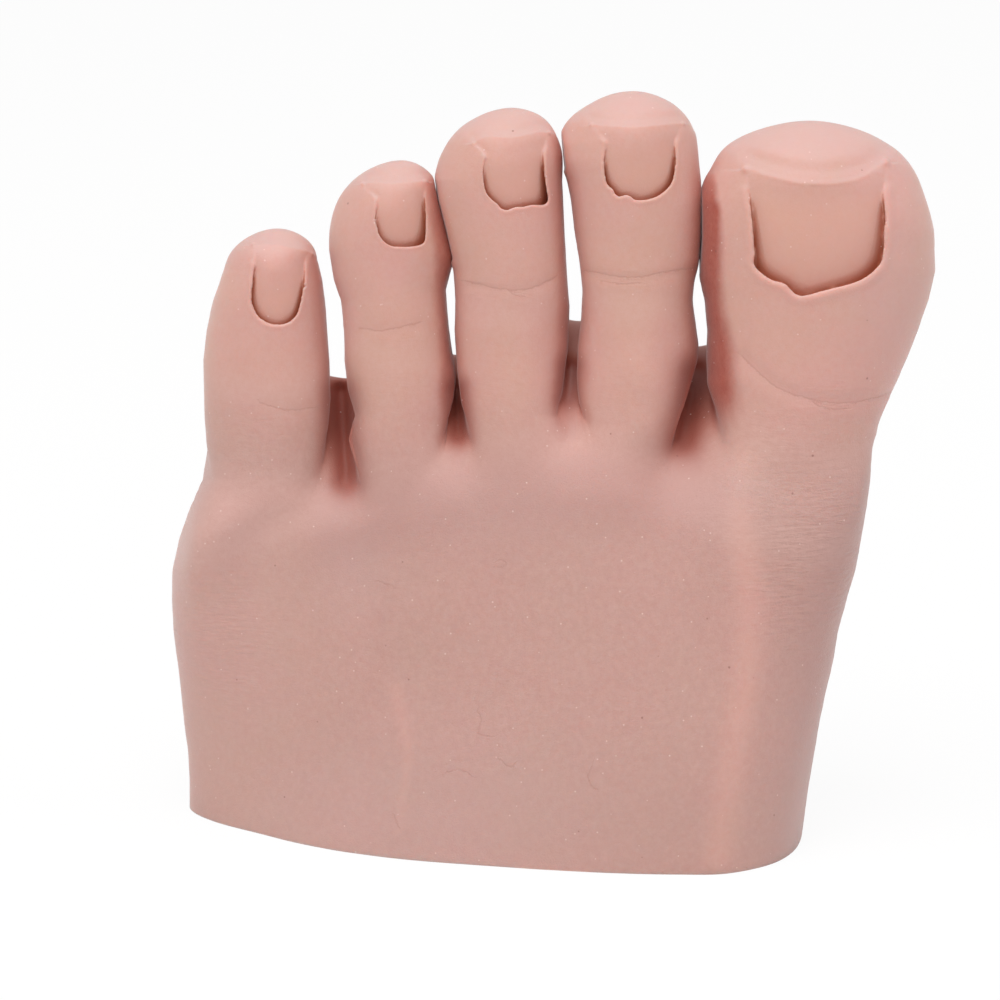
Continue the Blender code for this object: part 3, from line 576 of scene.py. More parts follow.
def normals_of(mesh):
    return read(mesh.vertex_normals, "vector", 3)


def face_owners(mesh):
    return read(mesh.polygons, "material_index", kind=np.int32)


def corners_of(mesh):
    return read(mesh.loops, "vertex_index", kind=np.int32)


def place_points(mesh, points):
    mesh.vertices.foreach_set("co", points.ravel())
    mesh.update()


def set_attribute(mesh, name, values):
    kind, field = ("FLOAT", "value") if values.ndim == 1 else ("FLOAT_VECTOR", "vector")
    layer = mesh.attributes.get(name) or mesh.attributes.new(name, kind, "POINT")
    layer.data.foreach_set(field, values.astype(np.float32).ravel())


def rolling(points, size, seed):
    """Smooth noise between -1 and 1, whose lumps are about as large as given. The large numbers only
    scramble each cell's place into a value of its own."""
    scaled = points / size + seed * 17.3
    cell = np.floor(scaled).astype(np.int64)
    part = scaled - cell
    fade = part * part * part * (part * (part * 6 - 15) + 10)
    total = np.zeros(len(points))
    for corner in range(8):
        step = np.array([corner & 1, corner >> 1 & 1, corner >> 2 & 1])
        at = cell + step
        mixed = (at[:, 0] * 374761393 + at[:, 1] * 668265263 + at[:, 2] * 2147483647 + seed * 1274126177)
        mixed = (mixed ^ (mixed >> 13)) * 1274126177
        value = ((mixed ^ (mixed >> 16)) & 0xFFFF) / 32767.5 - 1
        weight = np.prod(np.where(step == 1, fade, 1 - fade), axis=1)
        total += weight * value
    return total


def to_line(pixels, line, closed=False):
    """Distance in pixels from points of the picture to a line."""
    line = np.array(line, float)
    ends = np.roll(line, -1, axis=0) if closed else line[1:]
    starts = line if closed else line[:-1]
    nearest = np.full(len(pixels), np.inf)
    for start, end in zip(starts, ends):
        along = end - start
        t = np.clip(((pixels - start) @ along) / max(along @ along, 1e-9), 0, 1)
        gap = pixels - start - t[:, None] * along
        nearest = np.minimum(nearest, np.hypot(gap[:, 0], gap[:, 1]))
    return nearest


def outside(pixels, outline):
    """Distance in pixels from an outline: above zero outside it, below zero inside."""
    outline = np.array(outline, float)
    inside = np.zeros(len(pixels), bool)
    for (x0, y0), (x1, y1) in zip(outline, np.roll(outline, -1, axis=0)):
        crosses = (y0 > pixels[:, 1]) != (y1 > pixels[:, 1])
        if y0 != y1:
            inside ^= crosses & (pixels[:, 0] < (x1 - x0) * (pixels[:, 1] - y0) / (y1 - y0) + x0)
    gap = to_line(pixels, outline, closed=True)
    return np.where(inside, -gap, gap)


def curved(points, steps, closed=True):
    """More points, on a smooth curve through the given ones."""
    points = np.array(points, float)
    count = len(points)
    made = []
    for i in range(count if closed else count - 1):
        if closed:
            a, b, c, d = (points[(i + k) % count] for k in (-1, 0, 1, 2))
        else:
            a, b, c, d = (points[min(max(i + k, 0), count - 1)] for k in (-1, 0, 1, 2))
        for s in range(steps):
            t = s / steps
            made.append(
                b + 0.5 * t * (c - a + t * (2 * a - 5 * b + 4 * c - d + t * (3 * (b - c) + d - a)))
            )
    if not closed:
        made.append(points[-1])
    return np.array(made)


def smooth_line(line):
    return curved(line, LINE_STEPS, closed=False)


def near_line(pixels, line, width):
    """How near points of the picture lie to a line: 1 on it, fading out over about its width."""
    line = np.array(line, float)
    reach = LINE_REACH * width
    close = np.all((pixels > line.min(axis=0) - reach) & (pixels < line.max(axis=0) + reach), axis=1)
    found = np.zeros(len(pixels))
    found[close] = np.exp(-((to_line(pixels[close], line) / width) ** 2))
    return found


def subdivided(levels, owner=None):
    """The smooth form of the whole foot, or of one toe with the skin next to it."""
    cage = CAGE.copy()
    if owner is not None:
        kept = {face for face in cage.faces if face.material_index == owner}
        for _ in range(SKIN_AROUND_TOE):
            kept |= {other for face in kept for vert in face.verts for other in vert.link_faces}
        gone = [face for face in cage.faces if face not in kept]
        bmesh.ops.delete(cage, geom=gone, context="FACES")
    mesh = bpy.data.meshes.new("cage")
    cage.to_mesh(mesh)
    cage.free()
    holder = holder_of(mesh, "cage")
    smooth = holder.modifiers.new("Smooth skin", "SUBSURF")
    smooth.levels = smooth.render_levels = levels
    return shown(holder)


def owners_of(mesh):
    """Each point's toe number plus one, or 0 on the forefoot."""
    owners = np.zeros(len(mesh.vertices), np.int32)
    owners[corners_of(mesh)] = np.repeat(face_owners(mesh), 4)
    return owners


def is_outer(number, side):
    return (number, side) in ((0, -1), (len(TOES) - 1, 1))


def beside(owners, number, side):
    """The points that a side's line moves: the toe's, and the forefoot's on the foot's outer sides."""
    return (owners == number + 1) | (is_outer(number, side) & (owners == 0))


def measured_moves():
    """How far out each side of a toe must move, by height in the picture, to match the photo."""
    form = subdivided(FOOT_LEVELS)
    owners, pixels = owners_of(form), in_picture(points_of(form))
    table = []
    for number, side, line in TOE_SIDES:
        x, y = np.array(line, float).T
        toe = pixels[beside(owners, number, side)]
        heights = np.arange(y[0], y[-1], MEASURED_STEP)
        found = [(side * toe[np.abs(toe[:, 1] - at) < MEASURED_REACH, 0]).max() for at in heights]
        moves = side * np.interp(heights, y, x) - found
        fade = BASE_FADE_PIXELS if is_outer(number, side) else SIDE_FADE_PIXELS
        heights = np.concatenate([[y[0] - SIDE_FADE_PIXELS], heights, [y[-1] + fade]])
        table.append((number, side, heights, np.concatenate([[0], moves, [0]])))
    return table


def smooth_skin(levels, owner=None):
    """The smooth form with its toes' sides as in the photo, pressed flat where they touch."""
    skin = subdivided(levels, owner)
    owners, points, normals = owners_of(skin), points_of(skin), normals_of(skin)
    heights = in_picture(points)[:, 1]
    for number, side, at, moves in SIDE_MOVES:
        facing = np.clip(side * normals[:, 0], 0, 1) ** SIDE_SHARPNESS * beside(owners, number, side)
        points[:, 0] += side * PIXEL * np.interp(heights, at, moves) * facing
    pixels = in_picture(points)
    facing = facing_camera(normals, VALLEY_FACING)
    for line, half_width, deep in VALLEYS:
        points[:, 1] += deep * MM * facing * near_line(pixels, smooth_line(line), half_width)
    pixels = in_picture(points)
    depth = -((points - np.array(EYE)) @ np.array(BACK))
    for left, right, line, last in CONTACTS:
        x, y = np.array(line, float).T
        beyond = (pixels[:, 0] - np.interp(pixels[:, 1], y, x)) * depth / FOCAL_PIXELS
        beyond += CONTACT_TURN * (points[:, 1] - CONTACT_DEPTH)
        apart = PARTING * smoothstep(last, last + PARTING_PIXELS, pixels[:, 1])
        for number, side in ((left, -1), (right, 1)):
            room = side * beyond + apart - CONTACT_GAP / 2
            soft = CONTACT_ROUNDING * np.logaddexp(0, room / CONTACT_ROUNDING)
            points[:, 0] += side * (soft - room) * (owners == number + 1)
    place_points(skin, points)
    return skin


SMALL_RIDGE = ((395, 690), (408, 755), (398, 830))
LITTLE_TOE_FOLD = ((262, 403), (285, 410), (312, 408))
# Folds and ridges of the skin: line in pixels of the photograph, half width and rise in millimetres
FOLDS = (
    (((470, 285), (500, 290), (530, 289), (552, 280)), 0.7, -0.12),
    (((588, 273), (620, 278), (655, 277), (695, 270)), 0.8, -0.14),
    (((742, 356), (760, 374), (787, 392), (812, 400), (840, 402), (870, 398), (894, 393)), 1.0, -0.20),
    (((367, 329), (390, 332), (420, 326)), 0.8, -0.08),
    (LITTLE_TOE_FOLD, 0.7, -0.08),
    (((735, 470), (742, 540), (748, 610), (742, 690), (728, 770), (716, 860)), 3.4, 0.55),
    (SMALL_RIDGE, 1.6, 0.22),
    (((350, 545), (372, 620), (385, 700)), 3.0, -0.30),
    (((640, 375), (660, 400), (650, 430)), 3.0, 0.35),
    (((280, 395), (285, 430), (290, 455)), 3.6, 0.30),
)
# Thin creases, and the hair-fine marks cast into the surface
CREASES = (
    ((462, 281), (480, 284), (500, 289), (520, 290), (535, 287), (548, 281), (556, 276)),
    ((508, 290), (514, 295), (524, 297)),
    ((584, 271), (600, 273), (620, 277), (640, 277), (660, 273), (680, 270), (694, 268)),
    ((602, 281), (622, 284), (640, 283)),
    ((742, 356), (760, 374), (780, 389), (805, 398), (840, 403), (870, 399), (894, 391)),
    ((812, 402), (828, 409), (846, 409)),
    ((360, 328), (380, 331), (400, 327), (420, 322)),
    LITTLE_TOE_FOLD,
    ((479, 712), (481, 722), (478, 733), (490, 737)),
    ((592, 765), (588, 779), (594, 788)),
    ((380, 582), (392, 586)),
    ((394, 815), (398, 826)),
    ((448, 772), (460, 770), (470, 774)),
    ((500, 760), (511, 768), (516, 763)),
    ((498, 561), (503, 560), (506, 564), (503, 568), (498, 567)),
)
CREASE_REACH = 1.2 * MM
CREASE_FADE_SHARE = 0.6
LESSER_EDGE_SHARE = 0.55
FREE_EDGE_RISE = 0.20 * MM
FREE_EDGE_PIXELS = 4.0
BED_RISE_PIXELS = 16.0
FREE_EDGE_DENT = 0.24 * MM
FREE_EDGE_DENT_PIXELS = 8.0
FOLD_OUT_PIXELS = 4.5
FOLD_RISE = 0.16 * MM
HORN_RISE = 0.30 * MM
HORN_PIXELS = 3.6
LUMP_SIZE = 11 * MM
LUMP_HEIGHT = 0.16 * MM
LUMP_SEED = 3
DIMPLE_SIZE = 3.2 * MM
DIMPLE_HEIGHT = 0.035 * MM
DIMPLE_SEED = 5


def relief(points, normals):
    """How far the skin stands out of the smooth form, from its lumps, creases and nail edges."""
    pixels = in_picture(points)
    facing = facing_camera(normals, RELIEF_FACING)
    rise = LUMP_HEIGHT * rolling(points, LUMP_SIZE, LUMP_SEED)
    rise = rise + DIMPLE_HEIGHT * rolling(points, DIMPLE_SIZE, DIMPLE_SEED)
    for line, half_width, height in FOLDS:
        fold = near_line(pixels, smooth_line(line), half_width * MM / PIXEL)
        rise += height * MM * facing * fold
    for toe in TOES:
        scale = 1.0 if toe["name"] == "big_toe" else LESSER_EDGE_SHARE
        edge = curved([toe["nail"][-1], *toe["free_edge"], toe["nail"][0]], NAIL_STEPS, closed=False)
        order = np.argsort(edge[:, 0])
        below = pixels[:, 1] - np.interp(pixels[:, 0], edge[order, 0], edge[order, 1])
        sharp = near_line(pixels, edge, FREE_EDGE_PIXELS * scale)
        easy = near_line(pixels, edge, BED_RISE_PIXELS * scale)
        ridge = np.where(below < 0, sharp, easy)
        dent_pixels = FREE_EDGE_DENT_PIXELS * scale
        dent = near_line(pixels, edge - (0, 2 * dent_pixels), dent_pixels)
        sides = grown(np.array(toe["nail"]), FOLD_OUT_PIXELS * scale, even=True)
        side_fold = near_line(pixels, sides[2:-2], FOLD_OUT_PIXELS * scale)
        horns = near_line(pixels, toe["nail"][:1] * 2, HORN_PIXELS * scale)
        horns += near_line(pixels, toe["nail"][-1:] * 2, HORN_PIXELS * scale)
        rise += scale * facing * (
            FREE_EDGE_RISE * ridge - FREE_EDGE_DENT * dent + FOLD_RISE * side_fold + HORN_RISE * horns
        )
    return rise


def line_distance(points, normals):
    """Signed distance in millimetres to the nearest thin crease, and how near it is."""
    pixels = in_picture(points)
    nearest = np.full(len(points), np.inf)
    signed = np.zeros(len(points))
    reach = CREASE_REACH / PIXEL
    for line in CREASES:
        line = smooth_line(line)
        inside = (pixels > line.min(axis=0) - reach) & (pixels < line.max(axis=0) + reach)
        close = np.flatnonzero(np.all(inside, axis=1))
        for start, end in zip(line[:-1], line[1:]):
            along = end - start
            off = pixels[close] - start
            t = np.clip((off @ along) / (along @ along), 0, 1)
            gap = np.hypot(*(off - t[:, None] * along).T)
            side = np.sign(along[0] * off[:, 1] - along[1] * off[:, 0])
            better = gap < nearest[close]
            nearest[close[better]] = gap[better]
            signed[close[better]] = (side * gap)[better]
    near = 1 - smoothstep(CREASE_FADE_SHARE * reach, reach, nearest)
    return signed * PIXEL / MM, near * facing_camera(normals, CREASE_FACING)


# How enclosed the skin is, found once on a coarse mesh of the whole foot, for the painted shade in its
# hollows
SKY_RAYS = 24
SKY_REACH = 16 * MM
SKY_START = 0.05 * MM
SHADE_POINTS = 3


def sky_directions():
    """Directions spread evenly over a hemisphere about Z, closer together near its pole."""
    made = []
    for i in range(SKY_RAYS):
        height = math.sqrt(1 - (i + 0.5) / SKY_RAYS)
        turn = i * math.pi * (3 - math.sqrt(5))
        flat = math.sqrt(1 - height * height)
        made.append(Vector((flat * math.cos(turn), flat * math.sin(turn), height)))
    return made


def enclosed(points, normals, tree, reach):
    """Share of the sky that nearby skin hides from each point."""
    directions = sky_directions()
    hidden = np.zeros(len(points))
    for i, (point, normal) in enumerate(zip(points, normals)):
        point, normal = Vector(point), Vector(normal)
        turn = normal.to_track_quat("Z", "Y")
        start = point + normal * SKY_START
        total = 0.0
        for direction in directions:
            gap = tree.ray_cast(start, turn @ direction, reach)[3]
            if gap is not None:
                total += 1 - gap / reach
        hidden[i] = total / SKY_RAYS
    return hidden


def tree_of(mesh):
    return BVHTree.FromPolygons(
        [vert.co for vert in mesh.vertices], [tuple(face.vertices) for face in mesh.polygons]
    )


SIDE_MOVES = measured_moves()


class Shade:
    """How enclosed the skin is anywhere, from the coarse mesh."""

    def __init__(self):
        coarse = smooth_skin(SHADE_LEVELS)
        points = points_of(coarse)
        self.values = enclosed(points, normals_of(coarse), tree_of(coarse), SKY_REACH)
        self.tree = KDTree(len(points))
        for i, point in enumerate(points):
            self.tree.insert(point, i)
        self.tree.balance()

    def at(self, points):
        found = np.empty(len(points))
        for i, point in enumerate(points):
            near = self.tree.find_n(point, SHADE_POINTS)
            weights = [1 / (gap + SKY_START) for _, _, gap in near]
            total = sum(weight * self.values[index] for weight, (_, index, _) in zip(weights, near))
            found[i] = total / sum(weights)
        return found


SHADE = Shade()


def joint_named(name):
    place = next(joint["pos_m"] for joint in frame["joints"] if joint["name"] == name)
    return Vector(place)


class Plane:
    def __init__(self, normal, height):
        self.normal, self.height = Vector(normal).normalized(), height

    def point(self, near):
        """The plane's point nearest to the one given."""
        return near - self.normal * (near.dot(self.normal) - self.height)

    def heights(self, points):
        return points @ np.array(self.normal) - self.height


def root_plane(number, skin):
    """The plane just above a toe's root, which the forefoot's piece and the toe's share."""
    ours, others = set(), set()
    for face, owner in zip(skin.polygons, face_owners(skin)):
        (ours if owner == number + 1 else others).update(face.vertices)
    points = points_of(skin)[list(ours & others)]
    centre = points.mean(axis=0)
    normal = Vector(np.linalg.svd(points - centre)[2][2])
    normal *= math.copysign(1, normal.z)
    heights = points @ np.array(normal)
    return Plane(normal, heights.max() + BORDER_MARGIN)


def cut_beyond(work, plane, part=None):
    """Cuts away what lies above a plane, in the whole mesh or in the given faces, and closes it."""
    if part is None:
        geometry = list(work.verts) + list(work.edges) + list(work.faces)
    else:
        # A dict keeps the order of its keys, so that each run gives the same mesh
        faces = [face for face in work.faces if part(face)]
        edges = dict.fromkeys(edge for face in faces for edge in face.edges)
        verts = dict.fromkeys(vert for face in faces for vert in face.verts)
        geometry = [*verts, *edges, *faces]
    bmesh.ops.bisect_plane(
        work, geom=geometry, dist=WELD, plane_co=plane.normal * plane.height,
        plane_no=plane.normal, clear_outer=True,
    )
    rim = [edge for edge in work.edges if edge.is_boundary]
    skin = work.faces.layers.int["skin"]
    near = [edge for edge in rim if abs(edge.verts[0].co.dot(plane.normal) - plane.height) < ON_RIM]
    for face in bmesh.ops.holes_fill(work, edges=near)["faces"]:
        face[skin] = 0


def opened(plane):
    return Plane(-plane.normal, -plane.height)


def start_cut(mesh):
    work = bmesh.new()
    work.from_mesh(mesh)
    skin = work.faces.layers.int.new("skin")
    for face in work.faces:
        face[skin] = 1
    return work


def finish_cut(work, mesh):
    """Writes a cut mesh back, with the skin's own normals kept along its cut edges."""
    work.normal_update()
    work.to_mesh(mesh)
    work.free()
    normals = read(mesh.attributes["skin_normal"].data, "vector", 3)
    normals /= np.linalg.norm(normals, axis=1)[:, None]
    mesh.shade_smooth()
    per_corner = normals[corners_of(mesh)]
    is_skin = read(mesh.attributes["skin"].data, "value", kind=np.int32)
    for index in np.flatnonzero(is_skin == 0):
        face = mesh.polygons[index]
        per_corner[face.loop_start : face.loop_start + face.loop_total] = face.normal
    mesh.normals_split_custom_set(per_corner.tolist())
    mesh.attributes.remove(mesh.attributes["skin"])
    mesh.attributes.remove(mesh.attributes["skin_normal"])


# Tints of the skin, most of them painted light and shade, in pixels of the photograph. Sides that a
# neighbour shades, reddened with painted shade: toe, side, the line from which they redden, down the toe,
# and over how many pixels at its top and foot. Lines: the line, half width and strength. Areas: centre,
# half width, half height and strength.
SHADED_SIDES = (
    (4, -1, (
        (711, 165), (715, 185), (720, 210), (721, 240), (720, 275), (723, 310), (731, 345), (736, 400),
    ), (7, 24)),
    (1, 1, (
        (428, 175), (430, 200), (432, 225), (436, 262), (440, 307), (443, 353), (441, 398),
    ), (12, 10)),
    (2, 1, (
        (556, 139), (557, 171), (559.5, 216), (559.5, 262), (561, 307), (559, 353), (554, 398),
    ), (12, 10)),
    (3, 1, (
        (694, 175), (696, 200), (694, 240), (692, 262), (688, 300), (691, 353), (684, 388),
    ), (12, 10)),
)
SHADED_SHARES = {4: 1.0, 1: 0.55, 2: 0.35, 3: 0.25}
SHADED_START_PIXELS = (-20, 40)
SHADED_END_PIXELS = (-10, 40)
SHADED_UNEVEN_PIXELS = 1.2
SHADED_UNEVEN_SIZE = 1.6 * MM
SHADED_UNEVEN_SEED = 9
SHADED_EDGE = (-0.5, 0.5)
TOE_END_START = 46 * MM
TOE_END_WHOLE = 66 * MM
# Painted highlights along the two ridges of the forefoot, which lighten the skin as the toes' tone does
PAINTED_LIGHT_LINES = (
    (((738, 510), (750, 600), (745, 690), (732, 770), (718, 855)), 17, 0.75),
    (SMALL_RIDGE, 7, 0.45),
)
# Painted dusky shade across the forefoot below the toes' roots
DUSKY_SHADE_LINE = ((345, 530), (400, 512), (460, 492), (530, 492), (600, 488), (680, 492))
DUSKY_SHADE_PIXELS = 48
# Painted cool shade along the big toe's side of the forefoot, which turns away from the light
COOL_SHADE_LINE = ((862, 500), (850, 560), (832, 640), (818, 730), (800, 860))
COOL_SHADE_PIXELS = 44
WRINKLED_AREAS = (
    (825, 570, 70, 90, 1.5), (835, 400, 60, 30, 0.5), (215, 640, 60, 80, 1.1), (265, 430, 55, 40, 0.4),
    (400, 345, 45, 30, 0.3), (405, 385, 45, 45, 0.3), (510, 290, 45, 18, 0.5), (510, 390, 45, 40, 0.3),
    (640, 278, 50, 14, 0.5), (640, 375, 50, 45, 0.3), (800, 450, 60, 50, 0.5),
)
# Painted light on the little toe's side of the forefoot and low on its top
PAINTED_LIGHT_AREAS = ((215, 640, 95, 190, 0.55), (470, 830, 260, 70, 0.20))
# Painted dusky shade at the foot of each valley between the toes
DUSKY_SHADE_AREAS = (
    (345, 512, 22, 26, 1.2), (457, 462, 18, 22, 0.9), (568, 424, 20, 22, 1.0), (683, 470, 28, 26, 1.3),
)
# Painted sheen: the skin is paler on faces turned up near the toes' ends, and on these lit areas
PAINTED_SHEEN_AREAS = (
    (430, 820, 230, 90, 0.65), (220, 640, 95, 190, 0.45), (350, 560, 50, 60, 0.55),
    (480, 510, 120, 40, 0.35), (905, 300, 50, 70, 0.55), (740, 500, 60, 40, 0.35),
)
PAINTED_SHEEN_UPWARDS = (0.35, 0.95)
PAINTED_SHEEN_TOE_ENDS = (0.5, 1.0)
SEAM_FADE = (0.4 * MM, 3.0 * MM)


def strongest(pixels, areas):
    """The strongest of several soft-edged areas, at points of the picture."""
    found = np.zeros(len(pixels))
    for x, y, wide, high, strength in areas:
        off = (pixels - (x, y)) / (wide, high)
        found = np.maximum(found, strength * np.exp(-np.sum(off**2, axis=1)))
    return found


def tints_and_painted_light(points, normals, owners):
    """How far the painted shade of neighbours and webs reddens the skin, how light it is from the toes'
    tone and painted light, its dusky and cool painted shade, how wrinkled it is, and its painted sheen.
    """
    pixels = in_picture(points)
    facing = facing_camera(normals, TINT_FACING)
    # Painted reddish shade on the sides of toes that a neighbour shades
    between = np.zeros(len(points))
    for number, side, line, fades in SHADED_SIDES:
        x, y = np.array(line, float).T
        beyond = side * (pixels[:, 0] - np.interp(pixels[:, 1], y, x))
        inside = smoothstep(*SHADED_START_PIXELS, pixels[:, 1] - y[0])
        inside *= 1 - smoothstep(*SHADED_END_PIXELS, pixels[:, 1] - y[-1])
        uneven = SHADED_UNEVEN_PIXELS * rolling(points, SHADED_UNEVEN_SIZE, SHADED_UNEVEN_SEED)
        fade = np.interp(pixels[:, 1], (y[0], y[-1]), fades)
        shaded = smoothstep(*SHADED_EDGE, (beyond + uneven) / fade)
        between += SHADED_SHARES[number] * shaded * inside * (owners == number + 1)
    # Painted dark shade along the valleys between the toes
    valley = np.zeros(len(points))
    for line, half_width, _ in VALLEYS:
        tinted = near_line(pixels, smooth_line(line), VALLEY_TINT_SHARE * half_width)
        valley = np.maximum(valley, facing * tinted)
    toe_end = smoothstep(TOE_END_START, TOE_END_WHOLE, points[:, 2])
    # Painted dusky shade below the toes' roots and at the foot of each valley
    dusky = np.maximum(near_line(pixels, DUSKY_SHADE_LINE, DUSKY_SHADE_PIXELS), strongest(pixels, DUSKY_SHADE_AREAS))
    # Painted cool shade along the side of the forefoot that turns away from the light
    cool = facing * near_line(pixels, COOL_SHADE_LINE, COOL_SHADE_PIXELS)
    wrinkled = strongest(pixels, WRINKLED_AREAS)
    # Painted sheen, paler on faces turned up near the toes' ends and on lit areas
    bloom = smoothstep(*PAINTED_SHEEN_UPWARDS, normals[:, 2]) * smoothstep(*PAINTED_SHEEN_TOE_ENDS, toe_end)
    bloom = np.maximum(bloom, facing * strongest(pixels, PAINTED_SHEEN_AREAS))
    # Painted light on lit areas, and painted highlights along the ridges
    toe_end = np.maximum(toe_end, strongest(pixels, PAINTED_LIGHT_AREAS))
    for line, half_width, strength in PAINTED_LIGHT_LINES:
        lit = strength * facing * near_line(pixels, smooth_line(line), half_width)
        toe_end = np.maximum(toe_end, lit)
    return dict(
        between=between, valley=valley, toe_end=toe_end, dusky=facing * dusky, cool=cool,
        wrinkled=wrinkled, bloom=bloom,
    )


def keep_skin_data(mesh, seams, owners):
    """Stores the skin's normals, its tints with their painted light and shade, how enclosed it is for the
    painted shade in its hollows, and how near to a seam it lies.
    """
    points = points_of(mesh)
    set_attribute(mesh, "skin_normal", normals_of(mesh))
    for name, values in tints_and_painted_light(points, normals_of(mesh), owners).items():
        set_attribute(mesh, name, values)
    crease, near = line_distance(points, normals_of(mesh))
    set_attribute(mesh, "crease", crease)
    set_attribute(mesh, "near_crease", near)
    set_attribute(mesh, "hollow", SHADE.at(points))
    nearest = np.full(len(points), np.inf)
    for seam in seams:
        nearest = np.minimum(nearest, np.abs(seam.heights(points)))
    set_attribute(mesh, "seam", 1 - smoothstep(*SEAM_FADE, nearest))


def finished(mesh, name, body, *nodes):
    piece = holder_of(mesh, name)
    mesh.materials.clear()
    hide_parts(*nodes)
    if body:
        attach(piece, body)
    return piece


def skin_without_well(seams, owner=None):
    """The skin of the whole foot, or of one toe, with its relief and no nail well."""
    mesh = smooth_skin(FOOT_LEVELS, owner)
    points, normals = points_of(mesh), normals_of(mesh)
    place_points(mesh, points + normals * relief(points, normals)[:, None])
    keep_skin_data(mesh, seams, owners_of(mesh))
    for name in ("depth", "wall", "slot"):
        set_attribute(mesh, name, np.zeros(len(points)))
    return mesh


def forefoot(planes):
    """The forefoot's skin with the roots of the toes, cut flat where it stands."""
    mesh = skin_without_well(planes)
    work = start_cut(mesh)
    for number, plane in enumerate(planes):
        cut_beyond(work, plane, lambda face, owner=number + 1: face.material_index == owner)
    cut_beyond(work, Plane((0, 0, -1), 0))
    finish_cut(work, mesh)
    return finished(mesh, "foot_silicone", "forefoot", "foot_skin")


def only_owner(work, owner):
    gone = [face for face in work.faces if face.material_index != owner]
    bmesh.ops.delete(work, geom=gone, context="FACES")


def tip_border(number):
    """The plane on which a toe's middle and tip pieces meet."""
    tilt = math.radians(TIP_BORDER_TILT_DEG)
    normal = Vector((0, -math.sin(tilt), math.cos(tilt)))
    hinge = joint_named(TOES[number]["name"] + "_tip_joint")
    return Plane(normal, hinge.dot(normal) - TIP_BORDER_BACK)


def toe_middle(number, root, border):
    """The skin between a lesser toe's root and its tip."""
    name = TOES[number]["name"]
    mesh = skin_without_well([root, border], number + 1)
    work = start_cut(mesh)
    only_owner(work, number + 1)
    cut_beyond(work, opened(root))
    cut_beyond(work, border)
    finish_cut(work, mesh)
    piece = finished(mesh, name + "_middle_silicone", None, name + "_middle_skin")
    rim = [p for p in points_of(mesh) if abs(border.heights(np.array(p))) < ON_CUT]
    start = root.point(joint_named(name + "_knuckle"))
    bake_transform(piece)
    return piece


def prism(outline, near_y, far_y):
    """A closed solid that the camera sees as an outline, between two depths."""
    made = bmesh.new()
    near = [made.verts.new(behind_pixel(pixel, near_y)) for pixel in outline]
    far = [made.verts.new(behind_pixel(pixel, far_y)) for pixel in outline]
    for i in range(len(outline)):
        made.faces.new((near[i - 1], near[i], far[i], far[i - 1]))
    made.faces.new(near[::-1])
    made.faces.new(far)
    bmesh.ops.recalc_face_normals(made, faces=made.faces)
    bmesh.ops.triangulate(made, faces=made.faces)
    mesh = bpy.data.meshes.new("prism")
    made.to_mesh(mesh)
    made.free()
    return mesh


def combined(mesh, *steps):
    """A mesh after Boolean steps, each an operation and another mesh."""
    holder = holder_of(mesh, "base")
    tools = []
    for operation, other in steps:
        tools.append(holder_of(other, "tool"))
        step = holder.modifiers.new(operation, "BOOLEAN")
        step.operation, step.object, step.solver = operation, tools[-1], "MANIFOLD"
    made = shown(holder)
    for tool in tools:
        bpy.data.objects.remove(tool)
    return made


def grown(outline, pixels, even=False):
    """An outline moved outwards evenly, or less and less from its back end to the free edge."""
    following, before = np.roll(outline, -1, axis=0), np.roll(outline, 1, axis=0)
    along = following - before
    out = np.stack([-along[:, 1], along[:, 0]], axis=1)
    out /= np.linalg.norm(out, axis=1)[:, None]
    top, bottom = outline[:, 1].min(), outline[:, 1].max()
    share = smoothstep(*POCKET_SHARES, (outline[:, 1] - top) / (bottom - top))
    if even:
        share = np.ones(len(outline))
    area = np.sum(outline[:, 0] * following[:, 1] - following[:, 0] * outline[:, 1])
    return outline + out * (-math.copysign(pixels, area) * share)[:, None]


def nail_outline(toe):
    return curved(list(toe["nail"]) + list(toe["free_edge"]), NAIL_STEPS)


def bed_depth(toe, pixels):
    """How far the nail bed lies below the skin, deepest at the back and along its sides."""
    outline = np.array(toe["nail"])
    top, bottom = min(p[1] for p in toe["free_edge"]), outline[:, 1].max()
    left, right = outline[:, 0].min(), outline[:, 0].max()
    back = np.clip((pixels[:, 1] - top) / (bottom - top), 0, 1) ** BED_CURVE
    aside = np.clip((pixels[:, 0] - (left + right) / 2) / ((right - left) / 2), -1, 1)
    deep, shallow, beside_top = toe["bed_mm"]
    bed = (shallow + (deep - shallow) * back) * (BED_MIDDLE + BED_SIDES * aside**2 + BED_SLANT * aside)
    return (bed + beside_top * aside**4 * (1 - back) * smoothstep(*BED_SIDE_START, back)) * MM


def blurred(mesh, points, share, rounds):
    """Points after smoothing, by a share for each point."""
    a, b = read(mesh.edges, "vertices", 2, np.int32).T
    count = np.bincount(a, minlength=len(points)) + np.bincount(b, minlength=len(points))
    for _ in range(rounds):
        mean = np.empty_like(points)
        for axis in range(3):
            total = np.bincount(a, points[b, axis], len(points))
            total += np.bincount(b, points[a, axis], len(points))
            mean[:, axis] = total / count
        points = points + share[:, None] * (mean - points)
    return points


